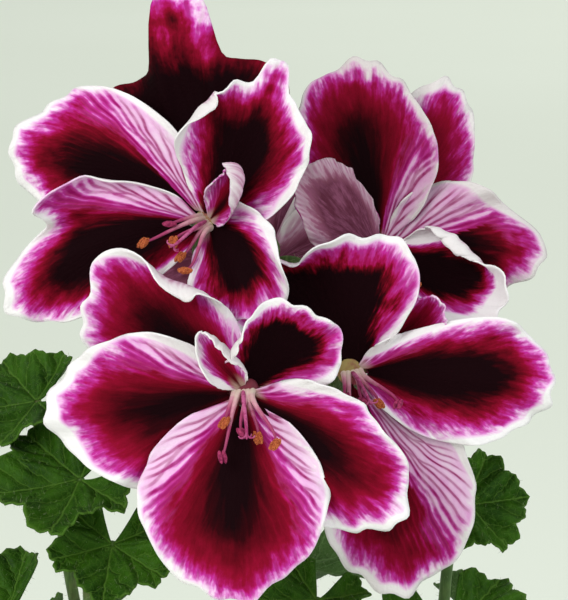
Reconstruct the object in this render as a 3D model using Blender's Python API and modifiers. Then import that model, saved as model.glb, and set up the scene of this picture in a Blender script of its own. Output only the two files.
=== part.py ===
"""Regal pelargonium in a plain pot: one flower head of five blooms over a young leafy plant.

The pot stands on z = 0 with its axis on the Z axis, and the flower head looks towards -Y.
Sizes in the tables are millimetres. The flower head is laid out in its own face frame, whose three
directions are right, up and out, where out points at someone who looks the flower head in the face.
"""

from collections import namedtuple
import math

import bmesh
import bpy
from mathutils import Vector
import numpy as np

MM = 0.001
GAP = 0.3

# The pot and the soil in it
POT_HEIGHT = 92.0
POT_BASE_RADIUS = 39.0
POT_MOUTH_RADIUS = 54.0
POT_WALL = 3.0
POT_FLOOR = 3.6
POT_BAND_HEIGHT = 15.0
POT_BAND_STEP = 2.4
POT_SIDES = 32
DRAIN_HOLES = 4
DRAIN_RADIUS = 4.0
DRAIN_CIRCLE = 24.0
SOIL_TOP = 80.0
SOIL_SWELL = 1.6
SOIL_SIDES = 26
STEM_HOLE_RADIUS = 5.2
STEM_HOLE_DEPTH = 26.0

# The woody stem and its side shoots: each a foot, two handles, a top, and its radius at both ends
STEM_KNOTS = 7
SHOOT_TIP = (2.7, 2.7, 5.5)
STEM_PATHS = {
    "trunk": (((0, 0, SOIL_TOP - STEM_HOLE_DEPTH + GAP), (0, 0, 92), (3, 4, 124), (1, 7, 150)), (4.6, 2.8)),
    "left": (((0, 1, 96), (-12, -3, 104), (-17, -7, 118), (-19, -9, 139)), (2.8, 2.2)),
    "right": (((1, 3, 106), (10, 2, 112), (17, 4, 122), (20, 5, 142)), (2.8, 2.2)),
}

# The flower head: where its face frame sits, and how far it looks up
HEAD_CENTRE = (0.0, -22.0, 238.0)
HEAD_TILT = math.radians(12)
HUB = (0.0, -6.0, -31.0)
PEDUNCLE_RADIUS = 1.9
PEDICEL_RADIUS = 1.05
HUB_RADIUS = 3.2

# Every petal: a fan of rays from the throat, rounded off at the shoulders
FAN_ANGLE = math.radians(62)
FAN_REACH = 0.97
FAN_ROUNDNESS = 0.40
FRAY = 0.016
CLAW_START = 0.085
CLAW_PINCH = 0.42
PETAL_THICKNESS = 0.7
MIDRIB_STEPS = 60
BROAD_GRID = (8, 4)
NARROW_GRID = (5, 3)
GRID_BUNCHING = 0.7
THROAT_RADIUS = 3.5
THROAT_DEPTH = 1.5

# Sepals and stamens
SEPALS = 5
SEPAL_LENGTH = 11.0
SEPAL_HALF_WIDTH = 1.8
SEPAL_HALF_THICKNESS = 0.55
SEPAL_FOOT = 0.9
SEPAL_SWEEP = math.radians(38)
STAMENS = 5
FILAMENT_LENGTH = 11.5
FILAMENT_RADIUS = 0.34
ANTHER_LENGTH = 1.9

# Leaves
LEAF_TEETH = 13
LEAF_LOBES = 5
LEAF_SPREAD = math.radians(152)
LEAF_THICKNESS = 0.7
PETIOLE_RADIUS = 1.1

COLOURS = {
    "pot": (0.42, 0.17, 0.10, 1.0),
    "soil": (0.035, 0.022, 0.015, 1.0),
    "stem": (0.16, 0.20, 0.06, 1.0),
    "green": (0.12, 0.26, 0.05, 1.0),
    "leaf": (0.04, 0.14, 0.02, 1.0),
    "petal": (0.25, 0.01, 0.06, 1.0),
    "stamen": (0.55, 0.16, 0.12, 1.0),
}

Petal = namedtuple(
    "Petal",
    "near far tip half_width cup roll twist wave curls crease lobes dents grid",
    defaults=(0, 0, (0.8, 3, 0), (), 0.72, (), (), BROAD_GRID),
)
Bloom = namedtuple("Bloom", "throat facing stamens_to petals")
Leaf = namedtuple("Leaf", "shoot knot centre normal point radius")

# near, far and tip are measured from the throat. cup is how far the blade's edges turn forward, in
# degrees, at its foot and at its tip. A wave is (height, crests, phase). A curl is (place across
# from -1 to 1, spread, degrees forward) and begins at the crease, a share of the way out. A lobe is
# (place, spread, share of the length) and a dent (place across, place along, spread, height forward).
BLOOMS = {
    "a": Bloom(
        throat=(-13.3, 13.6, 0.0),
        facing=(-0.25, 0.05, 1.0),
        stamens_to=(-8.0, -6.0, 6.0),
        petals={
            "left_upper": Petal(
                (-9, 7, 1), (-22, 15.5, -0.5), (-35.5, 12.5, -7), 12.5, (40, -28), wave=(1.0, 3, 40),
                lobes=((-0.35, 0.3, 0.08), (0.24, 0.14, -0.05), (0.95, 0.3, -0.14)),
            ),
            "left_lower": Petal(
                (-9, -1, 2), (-21, -2, 1.5), (-36.5, -14.5, -3.5), 13.0, (45, 10), wave=(1.6, 4, 70),
                curls=((0.66, 0.26, 80),), lobes=((0.64, 0.22, 0.2), (0.36, 0.14, -0.1), (-0.2, 0.3, 0.12)),
            ),
            "right": Petal(
                (4, -4, 6), (8, -9.5, 10), (8.8, -17, 8.5), 11.0, (40, 0), wave=(1.1, 4, 30),
                lobes=((-0.66, 0.28, -0.16), (0.5, 0.3, 0.12)),
            ),
            "right_flap": Petal(
                (4, 4, 8), (6.5, 7, 10), (7, 12.5, 12), 4.2, (50, 70), wave=(0.3, 2, 0),
                curls=((0, 0.6, 120),), grid=NARROW_GRID,
            ),
            "right_upper": Petal(
                (5, 8, 5), (10, 18, 9), (12.6, 27.5, 10), 12.4, (45, 50), -14, wave=(1.1, 4, 200),
                curls=((-0.45, 0.2, 130),), crease=0.8,
                lobes=((0.0, 0.08, 0.18), (-0.58, 0.28, 0.22), (0.55, 0.25, 0.06)),
            ),
            "top": Petal(
                (-1, 9, -3), (-4, 24, -5), (-5.2, 41, -7), 18.0, (14, -20), wave=(1.0, 3, 90),
                lobes=((0.01, 0.14, 0.4), (-0.6, 0.32, 0.22), (0.6, 0.32, 0.22)),
                dents=((0.0, 0.85, 0.25, 4.0),), grid=(16, 4),
            ),
        },
    ),
    "b": Bloom(
        throat=(-6.8, -15.4, 12.0),
        facing=(-0.05, -0.1, 1.0),
        stamens_to=(0.0, -9.5, 5.0),
        petals={
            "left": Petal(
                (-10, -1.5, 2), (-23, -6, 4), (-33.5, -6, 2), 13.6, (30, -16), wave=(1.0, 5, 20),
                lobes=((-0.34, 0.26, -0.08), (-0.78, 0.2, 0.1)),
            ),
            "bottom": Petal(
                (-1, -9, 3), (-2.5, -23, 6), (-2.2, -35.5, 4), 16.3, (24, -18), wave=(1.0, 4, 100),
            ),
            "right": Petal(
                (7, -5.5, 3), (17.5, -13, 5), (28.5, -19.5, 3), 11.4, (36, -22), wave=(1.1, 4, 0),
                lobes=((-0.6, 0.3, -0.12), (0.3, 0.4, 0.04)),
            ),
            "upper_right": Petal(
                (2.5, 4.5, 1), (8.7, 11.3, 2), (12, 13.3, 9), 11.2, (60, 50), -24, wave=(0.9, 3, 60),
                curls=((0.2, 0.7, -40), (-0.85, 0.25, 60)), lobes=((0.95, 0.35, -0.3),),
            ),
            "upper_left": Petal(
                (-7.5, 6, -4), (-17.5, 12.5, -6), (-27.3, 20.5, -5), 12.8, (34, -10), wave=(0.9, 3, 150),
                curls=((0.46, 0.19, 175),), crease=0.7, lobes=((0.14, 0.13, 0.1), (0.9, 0.28, -0.3)),
            ),
            "fold": Petal(
                (-3, 4, 5), (-6, 7.5, 7), (-7, 12.5, 8), 3.8, (40, 60), wave=(0.4, 2, 0),
                curls=((0.4, 0.6, 120),), grid=NARROW_GRID,
            ),
        },
    ),
    "c": Bloom(
        throat=(11.9, -12.6, -3.0),
        facing=(0.15, -0.1, 1.0),
        stamens_to=(2.0, -6.0, 7.0),
        petals={
            "right": Petal(
                (10, 0, 3), (23, 0, 4), (36, -2, -1), 12.4, (34, -20), wave=(1.1, 4, 50),
                lobes=((-0.85, 0.32, -0.42), (0.45, 0.3, 0.05)),
            ),
            "bottom": Petal((4, -9, 1), (9, -24, 1.5), (11.5, -39.5, -2), 14.0, (26, -16), wave=(1.0, 4, 0)),
            "top": Petal(
                (-2, 8, 2), (-6, 18, 4), (-9.5, 28, 5), 16.6, (34, -24), 12, wave=(1.2, 3, 0),
                curls=((-0.3, 0.42, 145),), lobes=((-0.45, 0.28, 0.4), (0.65, 0.25, 0.14)),
            ),
            "right_upper": Petal(
                (7, 4, -1), (13, 8, 0), (15.5, 15, 3.5), 5.2, (30, 20), wave=(0.4, 2, 0),
                curls=((0, 0.8, 60),), grid=NARROW_GRID,
            ),
            "left_upper": Petal(
                (-4, 3, 1), (-7, 6, 0), (-9, 10, -1), 5.2, (30, 10), wave=(0.3, 2, 0), grid=NARROW_GRID,
            ),
        },
    ),
    "d": Bloom(
        throat=(17.3, 8.4, -13.0),
        facing=(0.2, 0.15, 1.0),
        stamens_to=(0.0, -5.0, 8.0),
        petals={
            "top": Petal(
                (-1, 9, 2), (-4, 22, 3), (-6.5, 35, -1), 13.6, (45, 20), wave=(0.9, 3, 0),
                lobes=((0.75, 0.2, 0.08),),
            ),
            "top_right": Petal((4, 9, -2), (9, 21, -4), (14, 31.5, -7), 10.0, (20, -10), wave=(0.9, 3, 90)),
            "right": Petal(
                (9, 3, 0), (20, 4, 1), (29.5, -1.5, -3), 12.6, (34, -16), wave=(1.4, 4, 60),
                lobes=((-0.02, 0.16, 0.06), (-0.64, 0.42, -0.16)),
            ),
            "lower_right": Petal(
                (7, -3, 2), (15, -6, 4), (26, -7, 2), 10.5, (40, 20), wave=(0.7, 3, 0),
                curls=((-0.4, 0.6, 190),), crease=0.62,
            ),
            "left": Petal(
                (-4, 4, 8), (-9, 9.5, 14), (-14, 15.5, 15), 8.4, (40, 20), 175, wave=(0.7, 3, 0),
            ),
        },
    ),
    "e": Bloom(
        throat=(-3.0, 7.0, -49.0),
        facing=(-0.1, 0.3, -1.0),
        stamens_to=(-1.0, -7.0, -6.0),
        petals={
            "left": Petal((-9, 2, -3), (-20, 4, -5), (-30, -1, -3), 12.0, (34, -20), wave=(1.1, 4, 10)),
            "right": Petal((9, 3, -3), (20, 5, -5), (29, 0, -3), 12.0, (34, -20), wave=(1.1, 4, 90)),
            "bottom": Petal((0, -9, -3), (1, -22, -6), (2, -32, -4), 13.0, (26, -18), wave=(1.0, 4, 40)),
            "top_left": Petal((-4, 9, -4), (-9, 19, -6), (-13, 27, -2), 11.5, (36, -24), wave=(1.0, 3, 20)),
            "top_right": Petal((4, 9, -4), (10, 19, -6), (15, 26, -2), 11.5, (36, -24), wave=(1.0, 3, 110)),
        },
    ),
}

# Each leaf: the shoot and the knot of it that its stalk leaves, the middle of its blade, which way the
# blade faces and points, and its radius. The first seven are those round the flower head's lower edge.
LEAVES = (
    Leaf("left", 7, (-46, 0, 214), (-0.2, -0.45, 0.85), (-0.6, -0.2, 0.3), 13.5),
    Leaf("left", 6, (-37, -14, 203), (-0.1, -0.5, 0.85), (-0.9, -0.3, 0.1), 15.5),
    Leaf("left", 5, (-31, -18, 192), (0.1, -0.7, 0.7), (-0.1, -0.6, -0.6), 12),
    Leaf("right", 6, (34, -10, 197), (0.35, -0.75, 0.5), (0.9, 0.2, 0.1), 10.5),
    Leaf("right", 5, (30, -20, 176), (0.1, -0.5, 0.85), (0.3, -0.8, -0.3), 18),
    Leaf("trunk", 6, (6, -14, 180), (-0.1, -0.6, 0.75), (-0.4, -0.6, -0.4), 11.5),
    Leaf("left", 4, (-51, -17, 177), (-0.3, -0.5, 0.8), (-0.9, -0.3, 0.0), 18),
    Leaf("trunk", 5, (2, 44, 168), (0.1, 0.6, 0.8), (0.0, 0.9, -0.2), 22),
    Leaf("right", 6, (46, 30, 158), (0.5, 0.4, 0.8), (0.8, 0.5, -0.1), 23),
    Leaf("left", 6, (-46, 28, 157), (-0.5, 0.4, 0.8), (-0.8, 0.5, -0.1), 23),
    Leaf("right", 4, (60, -12, 148), (0.6, -0.3, 0.75), (0.9, -0.3, 0.0), 25),
    Leaf("trunk", 4, (14, -56, 144), (0.1, -0.7, 0.7), (0.1, -0.9, -0.1), 26),
    Leaf("left", 3, (-40, -46, 138), (-0.5, -0.6, 0.65), (-0.7, -0.7, -0.1), 25),
    Leaf("left", 2, (-60, 12, 136), (-0.6, 0.1, 0.75), (-0.9, 0.3, -0.1), 26),
    Leaf("trunk", 3, (4, 60, 134), (0.0, 0.6, 0.75), (0.1, 0.9, -0.1), 26),
)


def unit(vectors):
    """The vectors, each with length 1."""
    vectors = np.asarray(vectors, float)
    return vectors / np.linalg.norm(vectors, axis=-1, keepdims=True)


def face_to_world(points):
    """Points of the flower head's face frame, in millimetres, as world points in metres."""
    right = np.array((1.0, 0.0, 0.0))
    up = np.array((0.0, math.sin(HEAD_TILT), math.cos(HEAD_TILT)))
    out = np.array((0.0, -math.cos(HEAD_TILT), math.sin(HEAD_TILT)))
    return (np.array(HEAD_CENTRE) + np.asarray(points, float) @ np.array((right, up, out))) * MM


def bezier(handles, t):
    """The points of a cubic curve at the values t."""
    a, b, c, d = (np.array(h, float) for h in handles)
    t = np.asarray(t, float)[..., None]
    return (1 - t) ** 3 * a + 3 * (1 - t) ** 2 * t * b + 3 * (1 - t) * t**2 * c + t**3 * d


def midrib(petal, throat, facing):
    """Length from the throat, points, directions and forward normals along a petal's midrib."""
    handles = [np.array(throat, float) + np.array(p, float) for p in ((0, 0, 0), *petal[:3])]
    points = bezier(handles, np.linspace(0, 1, MIDRIB_STEPS + 1))
    along = unit(np.gradient(points, axis=0))
    normals = [np.array(facing, float)]
    for direction in along:
        last = normals[-1]
        normals.append(unit(last - (last @ direction) * direction))
    steps = np.linalg.norm(np.diff(points, axis=0), axis=1)
    return np.concatenate(([0.0], np.cumsum(steps))), points, along, np.array(normals[1:])


def read_along(distance, lengths, rows):
    """The rows' vectors, read at distances along a midrib whose points lie at the lengths."""
    return np.stack([np.interp(distance, lengths, rows[:, k]) for k in range(3)], -1)


def fan(petal, u):
    """Angle and length of the fan's rays at the places u across the petal, for a petal 1 long."""
    angle = FAN_ANGLE * FAN_REACH * (0.6 * u + 0.4 * np.sin(0.5 * math.pi * u))
    length = np.cos(0.5 * math.pi * angle / FAN_ANGLE) ** FAN_ROUNDNESS
    phase = math.radians(petal.wave[2])
    length = length * (1 + FRAY * (np.sin(8 * u + phase) + 0.6 * np.sin(19 * u - 2 * phase)))
    for place, spread, share in petal.lobes:
        length = length * (1 + share * np.exp(-(((u - place) / spread) ** 4)))
    return angle, length


def blade(petal, rib, u, rho):
    """Face frame points of a petal, without its curled margins, at u across and rho along its rays."""
    lengths, points, along, normals = rib
    every = np.linspace(-1, 1, 81)
    angles, rays = fan(petal, every)
    furthest = (rays * np.cos(angles)).max()
    widest = (rays * np.sin(angles)).max()
    angle, ray = fan(petal, u)
    distance = np.clip(ray * rho * np.cos(angle) / furthest, 0, 1) * lengths[-1]
    share = distance / lengths[-1]
    pinch = 1 - CLAW_PINCH * (1 - rho) ** 1.6
    n = ray * rho * np.sin(angle) / widest * pinch
    place, direction, normal = (read_along(distance, lengths, row) for row in (points, along, normals))
    direction, normal = unit(direction), unit(normal)
    side = np.cross(direction, normal)
    turn = np.radians(petal.roll + petal.twist * share)[..., None]
    side, normal = np.cos(turn) * side + np.sin(turn) * normal, np.cos(turn) * normal - np.sin(turn) * side
    cup = np.radians(petal.cup[0] + (petal.cup[1] - petal.cup[0]) * share)
    cup = np.where(np.abs(cup) < 1e-3, 1e-3, cup)
    across = petal.half_width * np.sin(cup * n) / cup
    forward = petal.half_width * (1 - np.cos(cup * n)) / cup
    height, crests, phase = petal.wave
    forward = forward + height * rho**2.5 * np.sin(math.pi * crests * u + math.radians(phase))
    for u_at, rho_at, spread, rise in petal.dents:
        forward = forward + rise * np.exp(-(((u - u_at) / spread) ** 2) - ((rho - rho_at) / spread) ** 2)
    return place + side * across[..., None] + normal * forward[..., None]


def petal_points(petal, bloom, u, rho):
    """World points of a petal with its margins curled, at u from -1 to 1 and rho from 0 to 1."""
    rib = midrib(petal, bloom.throat, bloom.facing)
    flat = blade(petal, rib, u, rho)
    degrees = np.zeros_like(u)
    for place, spread, angle in petal.curls:
        degrees = degrees + angle * np.exp(-(((u - place) / spread) ** 2))
    turn = np.radians(np.where(np.abs(degrees) < 0.5, 0.5, degrees))[..., None]
    small = 0.01
    crease = np.full_like(u, petal.crease)
    outward = (blade(petal, rib, u, crease + small) - blade(petal, rib, u, crease - small)) / (2 * small)
    sideways = blade(petal, rib, u + small, crease) - blade(petal, rib, u - small, crease)
    forward = unit(np.cross(sideways, outward))
    beyond = np.clip((rho - petal.crease) / (1 - petal.crease), 0, 1)[..., None]
    outward = outward * (1 - petal.crease)
    reach = np.linalg.norm(outward, axis=-1, keepdims=True)
    bent = outward * (np.sin(turn * beyond) / turn - beyond)
    bent = bent + forward * reach * (1 - np.cos(turn * beyond)) / turn
    return face_to_world(flat + bent)


def leaf_points(leaf, u, rho):
    """World points of a leaf blade: rays from where the stalk meets it, u round and rho along them."""
    normal = unit(leaf.normal)
    point = np.array(leaf.point, float)
    point = unit(point - (point @ normal) * normal)
    side = np.cross(point, normal)
    angle = LEAF_SPREAD * u
    tooth = 1 - np.abs((0.5 * (u + 1) * LEAF_TEETH % 1) - 0.5) * 2
    lobe = np.cos(math.pi * LEAF_LOBES * (u + 1) + math.pi)
    ray = leaf.radius * (0.84 + 0.16 * np.cos(angle)) * (1 + 0.09 * lobe) * (0.93 + 0.12 * tooth)
    ruffle = 0.03 * rho**3 * np.sin(7 * u + leaf.radius)
    rise = leaf.radius * (0.20 * rho**2 - 0.075 * rho**1.5 * lobe + ruffle)
    flat = rho * ray
    spot = point * (flat * np.cos(angle))[..., None] + side * (flat * np.sin(angle))[..., None]
    return (np.array(leaf.centre, float) + spot + normal * rise[..., None]) * MM


def material(name):
    """A plain finish in the part's own colour."""
    made = bpy.data.materials.get(name) or bpy.data.materials.new(name)
    made.use_nodes = True
    shader = made.node_tree.nodes["Principled BSDF"]
    shader.inputs["Base Color"].default_value = COLOURS[name]
    shader.inputs["Roughness"].default_value = 0.6
    shader.inputs["Metallic"].default_value = 0.0
    return made


def add_object(name, data, finish=None, collection=None):
    """A new object in the plant's collection, or in another."""
    obj = bpy.data.objects.new(name, data)
    (collection or bpy.data.collections["regal_pelargonium"]).objects.link(obj)
    if finish:
        obj.data.materials.clear()
        obj.data.materials.append(material(finish))
    return obj


def evaluated_mesh(obj, weld=True):
    """The object's mesh with its modifiers and its place applied, and its doubled points welded."""
    bpy.context.view_layer.update()
    seen = obj.evaluated_get(bpy.context.evaluated_depsgraph_get())
    mesh = bpy.data.meshes.new_from_object(seen)
    mesh.transform(obj.matrix_world)
    bm = bmesh.new()
    bm.from_mesh(mesh)
    if weld:
        bmesh.ops.remove_doubles(bm, verts=bm.verts, dist=1e-6)
    bm.to_mesh(mesh)
    bm.free()
    return mesh


def baked(obj, finish):
    """Replaces an object by one that holds its finished mesh."""
    name, mesh = obj.name, evaluated_mesh(obj)
    bpy.data.objects.remove(obj)
    return add_object(name, mesh, finish)


def sheet(name, surface, grid, thickness, finish):
    """A closed thin blade: a grid whose points the surface function places, given its thickness."""
    bm = bmesh.new()
    bmesh.ops.create_grid(bm, x_segments=grid[0], y_segments=grid[1], size=1.0)
    flat = np.array([v.co for v in bm.verts])
    points = surface(flat[:, 0], 0.5 * (flat[:, 1] + 1))
    for vert, point in zip(bm.verts, points):
        vert.co = point
    bmesh.ops.remove_doubles(bm, verts=bm.verts, dist=1e-6)
    bmesh.ops.triangulate(bm, faces=bm.faces)
    mesh = bpy.data.meshes.new(name)
    bm.to_mesh(mesh)
    bm.free()
    obj = add_object(name, mesh, finish)
    shell = obj.modifiers.new("blade", "SOLIDIFY")
    shell.thickness = thickness * MM
    shell.offset = 0.0
    return baked(obj, finish)


def tube(name, points, radii, finish, resolution=1):
    """A filled tube along points in metres, with a radius in millimetres at each of them."""
    curve = bpy.data.curves.new(name, "CURVE")
    curve.dimensions = "3D"
    curve.bevel_depth = MM
    curve.bevel_resolution = resolution
    curve.use_fill_caps = True
    spline = curve.splines.new("POLY")
    spline.points.add(len(points) - 1)
    for spot, point, radius in zip(spline.points, points, radii):
        spot.co = (*point, 1.0)
        spot.radius = radius
    return baked(add_object(name, curve, finish), finish)


def ball(name, centre, radii, direction, finish, sides=8, rings=5):
    """A squashed ball at a world point, with its pole along a direction."""
    mesh = bpy.data.meshes.new(name)
    bm = bmesh.new()
    bmesh.ops.create_uvsphere(bm, u_segments=sides, v_segments=rings, radius=1.0)
    bm.to_mesh(mesh)
    bm.free()
    obj = add_object(name, mesh, finish)
    obj.scale = [radius * MM for radius in radii]
    obj.rotation_mode = "QUATERNION"
    obj.rotation_quaternion = Vector(direction).to_track_quat("Z", "Y")
    obj.location = centre
    return baked(obj, finish)


def fuse(name, pieces, finish):
    """One solid from pieces that overlap: a Boolean union on a collection, applied."""
    others = bpy.data.collections.new("joined_into_" + name)
    bpy.context.scene.collection.children.link(others)
    first = pieces[0]
    for piece in pieces[1:]:
        others.objects.link(piece)
    union = first.modifiers.new("union", "BOOLEAN")
    union.operation = "UNION"
    union.operand_type = "COLLECTION"
    union.collection = others
    union.solver = "MANIFOLD"
    mesh = evaluated_mesh(first, weld=False)
    for piece in pieces:
        bpy.data.objects.remove(piece)
    bpy.data.collections.remove(others)
    keep_outer_skin(mesh)
    return add_object(name, mesh, finish)


def keep_outer_skin(mesh):
    """Keeps a union's largest skin: this fills the pockets shut in between the pieces."""
    bm = bmesh.new()
    bm.from_mesh(mesh)
    skins, left = [], set(bm.verts)
    while left:
        skin, edge = set(), {left.pop()}
        while edge:
            skin |= edge
            edge = {e.other_vert(v) for v in edge for e in v.link_edges} - skin
        left -= skin
        faces = {face for vert in skin for face in vert.link_faces}
        skins.append((sum(face.calc_area() for face in faces), list(skin)))
    skins.sort(key=lambda pair: pair[0])
    for _, skin in skins[:-1]:
        bmesh.ops.delete(bm, geom=skin, context="VERTS")
    bm.to_mesh(mesh)
    bm.free()


def turned(name, profile, sides, finish):
    """A closed turned body from a profile of (radius, height) points that runs down its outer side."""
    mesh = bpy.data.meshes.new(name)
    edges = [(i, i + 1) for i in range(len(profile) - 1)]
    mesh.from_pydata([(r * MM, 0, z * MM) for r, z in profile], edges, [])
    obj = add_object(name, mesh, finish)
    screw = obj.modifiers.new("turn", "SCREW")
    screw.steps = screw.render_steps = sides
    screw.use_merge_vertices = True
    screw.merge_threshold = 1e-5
    return obj


def make_pot():
    """The pot: a tapered wall with a rim band, a flat floor, and drain holes off its centre."""
    band_foot = POT_HEIGHT - POT_BAND_HEIGHT
    slope = (POT_MOUTH_RADIUS - POT_BASE_RADIUS) / POT_HEIGHT
    outer = POT_BASE_RADIUS + slope * band_foot
    profile = [
        (0, POT_FLOOR),
        (POT_BASE_RADIUS - POT_WALL, POT_FLOOR),
        (POT_MOUTH_RADIUS - POT_WALL, POT_HEIGHT - 1),
        (POT_MOUTH_RADIUS - POT_WALL + 1, POT_HEIGHT),
        (POT_MOUTH_RADIUS + POT_BAND_STEP - 1, POT_HEIGHT),
        (POT_MOUTH_RADIUS + POT_BAND_STEP, POT_HEIGHT - 1),
        (outer + POT_BAND_STEP, band_foot + 1),
        (outer + POT_BAND_STEP - 1, band_foot),
        (outer, band_foot - 1),
        (POT_BASE_RADIUS, 1.5),
        (POT_BASE_RADIUS - 1.5, 0),
        (0, 0),
    ]
    pot = baked(turned("pot", profile, POT_SIDES, "pot"), "pot")
    cutters = bpy.data.collections.new("cutters")
    bpy.context.scene.collection.children.link(cutters)
    for k in range(DRAIN_HOLES):
        angle = 2 * math.pi * (k + 0.5) / DRAIN_HOLES
        bm = bmesh.new()
        radius, depth = DRAIN_RADIUS * MM, 4 * POT_FLOOR * MM
        bmesh.ops.create_cone(bm, cap_ends=True, segments=10, radius1=radius, radius2=radius, depth=depth)
        mesh = bpy.data.meshes.new("drain_cutter")
        bm.to_mesh(mesh)
        bm.free()
        cutter = add_object("drain_cutter", mesh, None, cutters)
        cutter.location = (DRAIN_CIRCLE * math.cos(angle) * MM, DRAIN_CIRCLE * math.sin(angle) * MM, 0)
        cutter.hide_render = True
        cutter.display_type = "WIRE"
        cut = pot.modifiers.new("drain_hole", "BOOLEAN")
        cut.operation = "DIFFERENCE"
        cut.object = cutter
        cut.solver = "EXACT"
    return pot


def make_soil():
    """The soil: it fills the pot to below the rim, lies a little uneven, and has the stem's hole."""
    slope = (POT_MOUTH_RADIUS - POT_BASE_RADIUS) / POT_HEIGHT
    floor = POT_FLOOR + GAP
    inside = POT_BASE_RADIUS - POT_WALL - GAP - 0.4
    edge = inside + slope * (SOIL_TOP - floor)
    hole_floor = SOIL_TOP - STEM_HOLE_DEPTH
    profile = [
        (0, hole_floor),
        (STEM_HOLE_RADIUS, hole_floor),
        (STEM_HOLE_RADIUS, SOIL_TOP),
        (0.40 * edge, SOIL_TOP),
        (0.70 * edge, SOIL_TOP),
        (0.90 * edge, SOIL_TOP),
        (edge, SOIL_TOP),
        (inside, floor),
        (0, floor),
    ]
    soil = baked(turned("soil", profile, SOIL_SIDES, "soil"), "soil")
    for vert in soil.data.vertices:
        x, y, z = (c / MM for c in vert.co)
        radius = math.hypot(x, y)
        if z > SOIL_TOP - 1 and STEM_HOLE_RADIUS + 1 < radius < edge - 1:
            swell = math.sin(0.11 * x + 1.3) * math.cos(0.13 * y - 0.4) + 0.5 * math.sin(0.31 * x - 0.27 * y)
            vert.co.z += SOIL_SWELL * swell * MM
    return soil


def make_stem():
    """The woody stem and its side shoots, one grown piece, standing in the soil's hole."""
    knots = np.linspace(0, 1, STEM_KNOTS + 1)
    shoots = [
        tube(f"shoot_{name}", bezier(path, knots) * MM, radii[0] + (radii[1] - radii[0]) * knots, "stem", 1)
        for name, (path, radii) in STEM_PATHS.items()
    ]
    tips = [
        ball(f"tip_{name}", np.array(STEM_PATHS[name][0][3]) * MM, SHOOT_TIP, (0, 0, 1), "stem", 6, 4)
        for name in ("left", "right")
    ]
    return fuse("stem", [*shoots, *tips], "stem")


def sepal(bloom, k):
    """One narrow green sepal behind a bloom, swept back from the petals."""
    facing = unit(bloom.facing)
    sideways = unit(np.cross(facing, (0.0, 1.0, 0.2)))
    upward = np.cross(sideways, facing)
    angle = 2 * math.pi * (k + 0.25) / SEPALS
    spoke = math.cos(angle) * sideways + math.sin(angle) * upward
    direction = math.cos(SEPAL_SWEEP) * spoke - math.sin(SEPAL_SWEEP) * facing
    foot = np.array(bloom.throat) - (THROAT_DEPTH + GAP + 1.1) * facing + SEPAL_FOOT * spoke
    radii = (SEPAL_HALF_WIDTH, SEPAL_HALF_THICKNESS, 0.5 * SEPAL_LENGTH)
    blade = ball(f"sepal_{k}", (0, 0, 0), radii, (0, 0, 1), "green", 4, 3)
    frame = np.array((np.cross(facing, spoke), np.cross(direction, np.cross(facing, spoke)), direction))
    for vert in blade.data.vertices:
        vert.co = face_to_world(foot + 0.5 * SEPAL_LENGTH * direction + (np.array(vert.co) / MM) @ frame)
    return blade


def make_flower_stalk():
    """The flower stalk: peduncle, hub, a pedicel to each bloom, and the sepals behind each bloom."""
    hub = face_to_world(HUB)
    foot = (np.array(STEM_PATHS["trunk"][0][3]) + (0, 0, GAP)) * MM
    handles = (foot, foot + (0.001, 0, 0.022), hub - (0.002, -0.002, 0.028), hub)
    path = bezier(handles, np.linspace(0, 1, 7))
    pieces = [
        tube("flower_stalk", path, [PEDUNCLE_RADIUS] * len(path), "green"),
        ball("hub", hub, (HUB_RADIUS, HUB_RADIUS, 0.9 * HUB_RADIUS), (0, 0, 1), "green"),
    ]
    for name, bloom in BLOOMS.items():
        facing = unit(bloom.facing)
        seat = np.array(bloom.throat) - (THROAT_DEPTH + GAP) * facing
        handles = (HUB, np.array(HUB) + 0.35 * (seat - HUB), seat - 9 * facing, seat)
        points = face_to_world(bezier(handles, np.linspace(0, 1, 5)))
        radii = [PEDICEL_RADIUS] * 3 + [1.2 * PEDICEL_RADIUS, 1.9 * PEDICEL_RADIUS]
        pieces.append(tube("pedicel_" + name, points, radii, "green"))
        pieces += [sepal(bloom, k) for k in range(SEPALS)]
    return fuse("flower_stalk", pieces, "green")


def make_bloom(name, bloom):
    """A bloom's petals, grown together at the throat, and its stamens standing in it."""
    facing = unit(bloom.facing)
    outward = face_to_world(facing) - face_to_world((0, 0, 0))
    radii = (THROAT_RADIUS, THROAT_RADIUS, THROAT_DEPTH)
    throat = ball("throat_" + name, face_to_world(bloom.throat), radii, outward, "petal")
    petals = []
    for place, petal in bloom.petals.items():

        def surface(u, v, petal=petal):
            return petal_points(petal, bloom, u, CLAW_START + (1 - CLAW_START) * v**GRID_BUNCHING)

        petals.append(sheet(f"{name}_{place}", surface, petal.grid, PETAL_THICKNESS, "petal"))
    fuse(f"bloom_{name}_petals", [throat, *petals], "petal")
    make_stamens(name, bloom)


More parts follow.
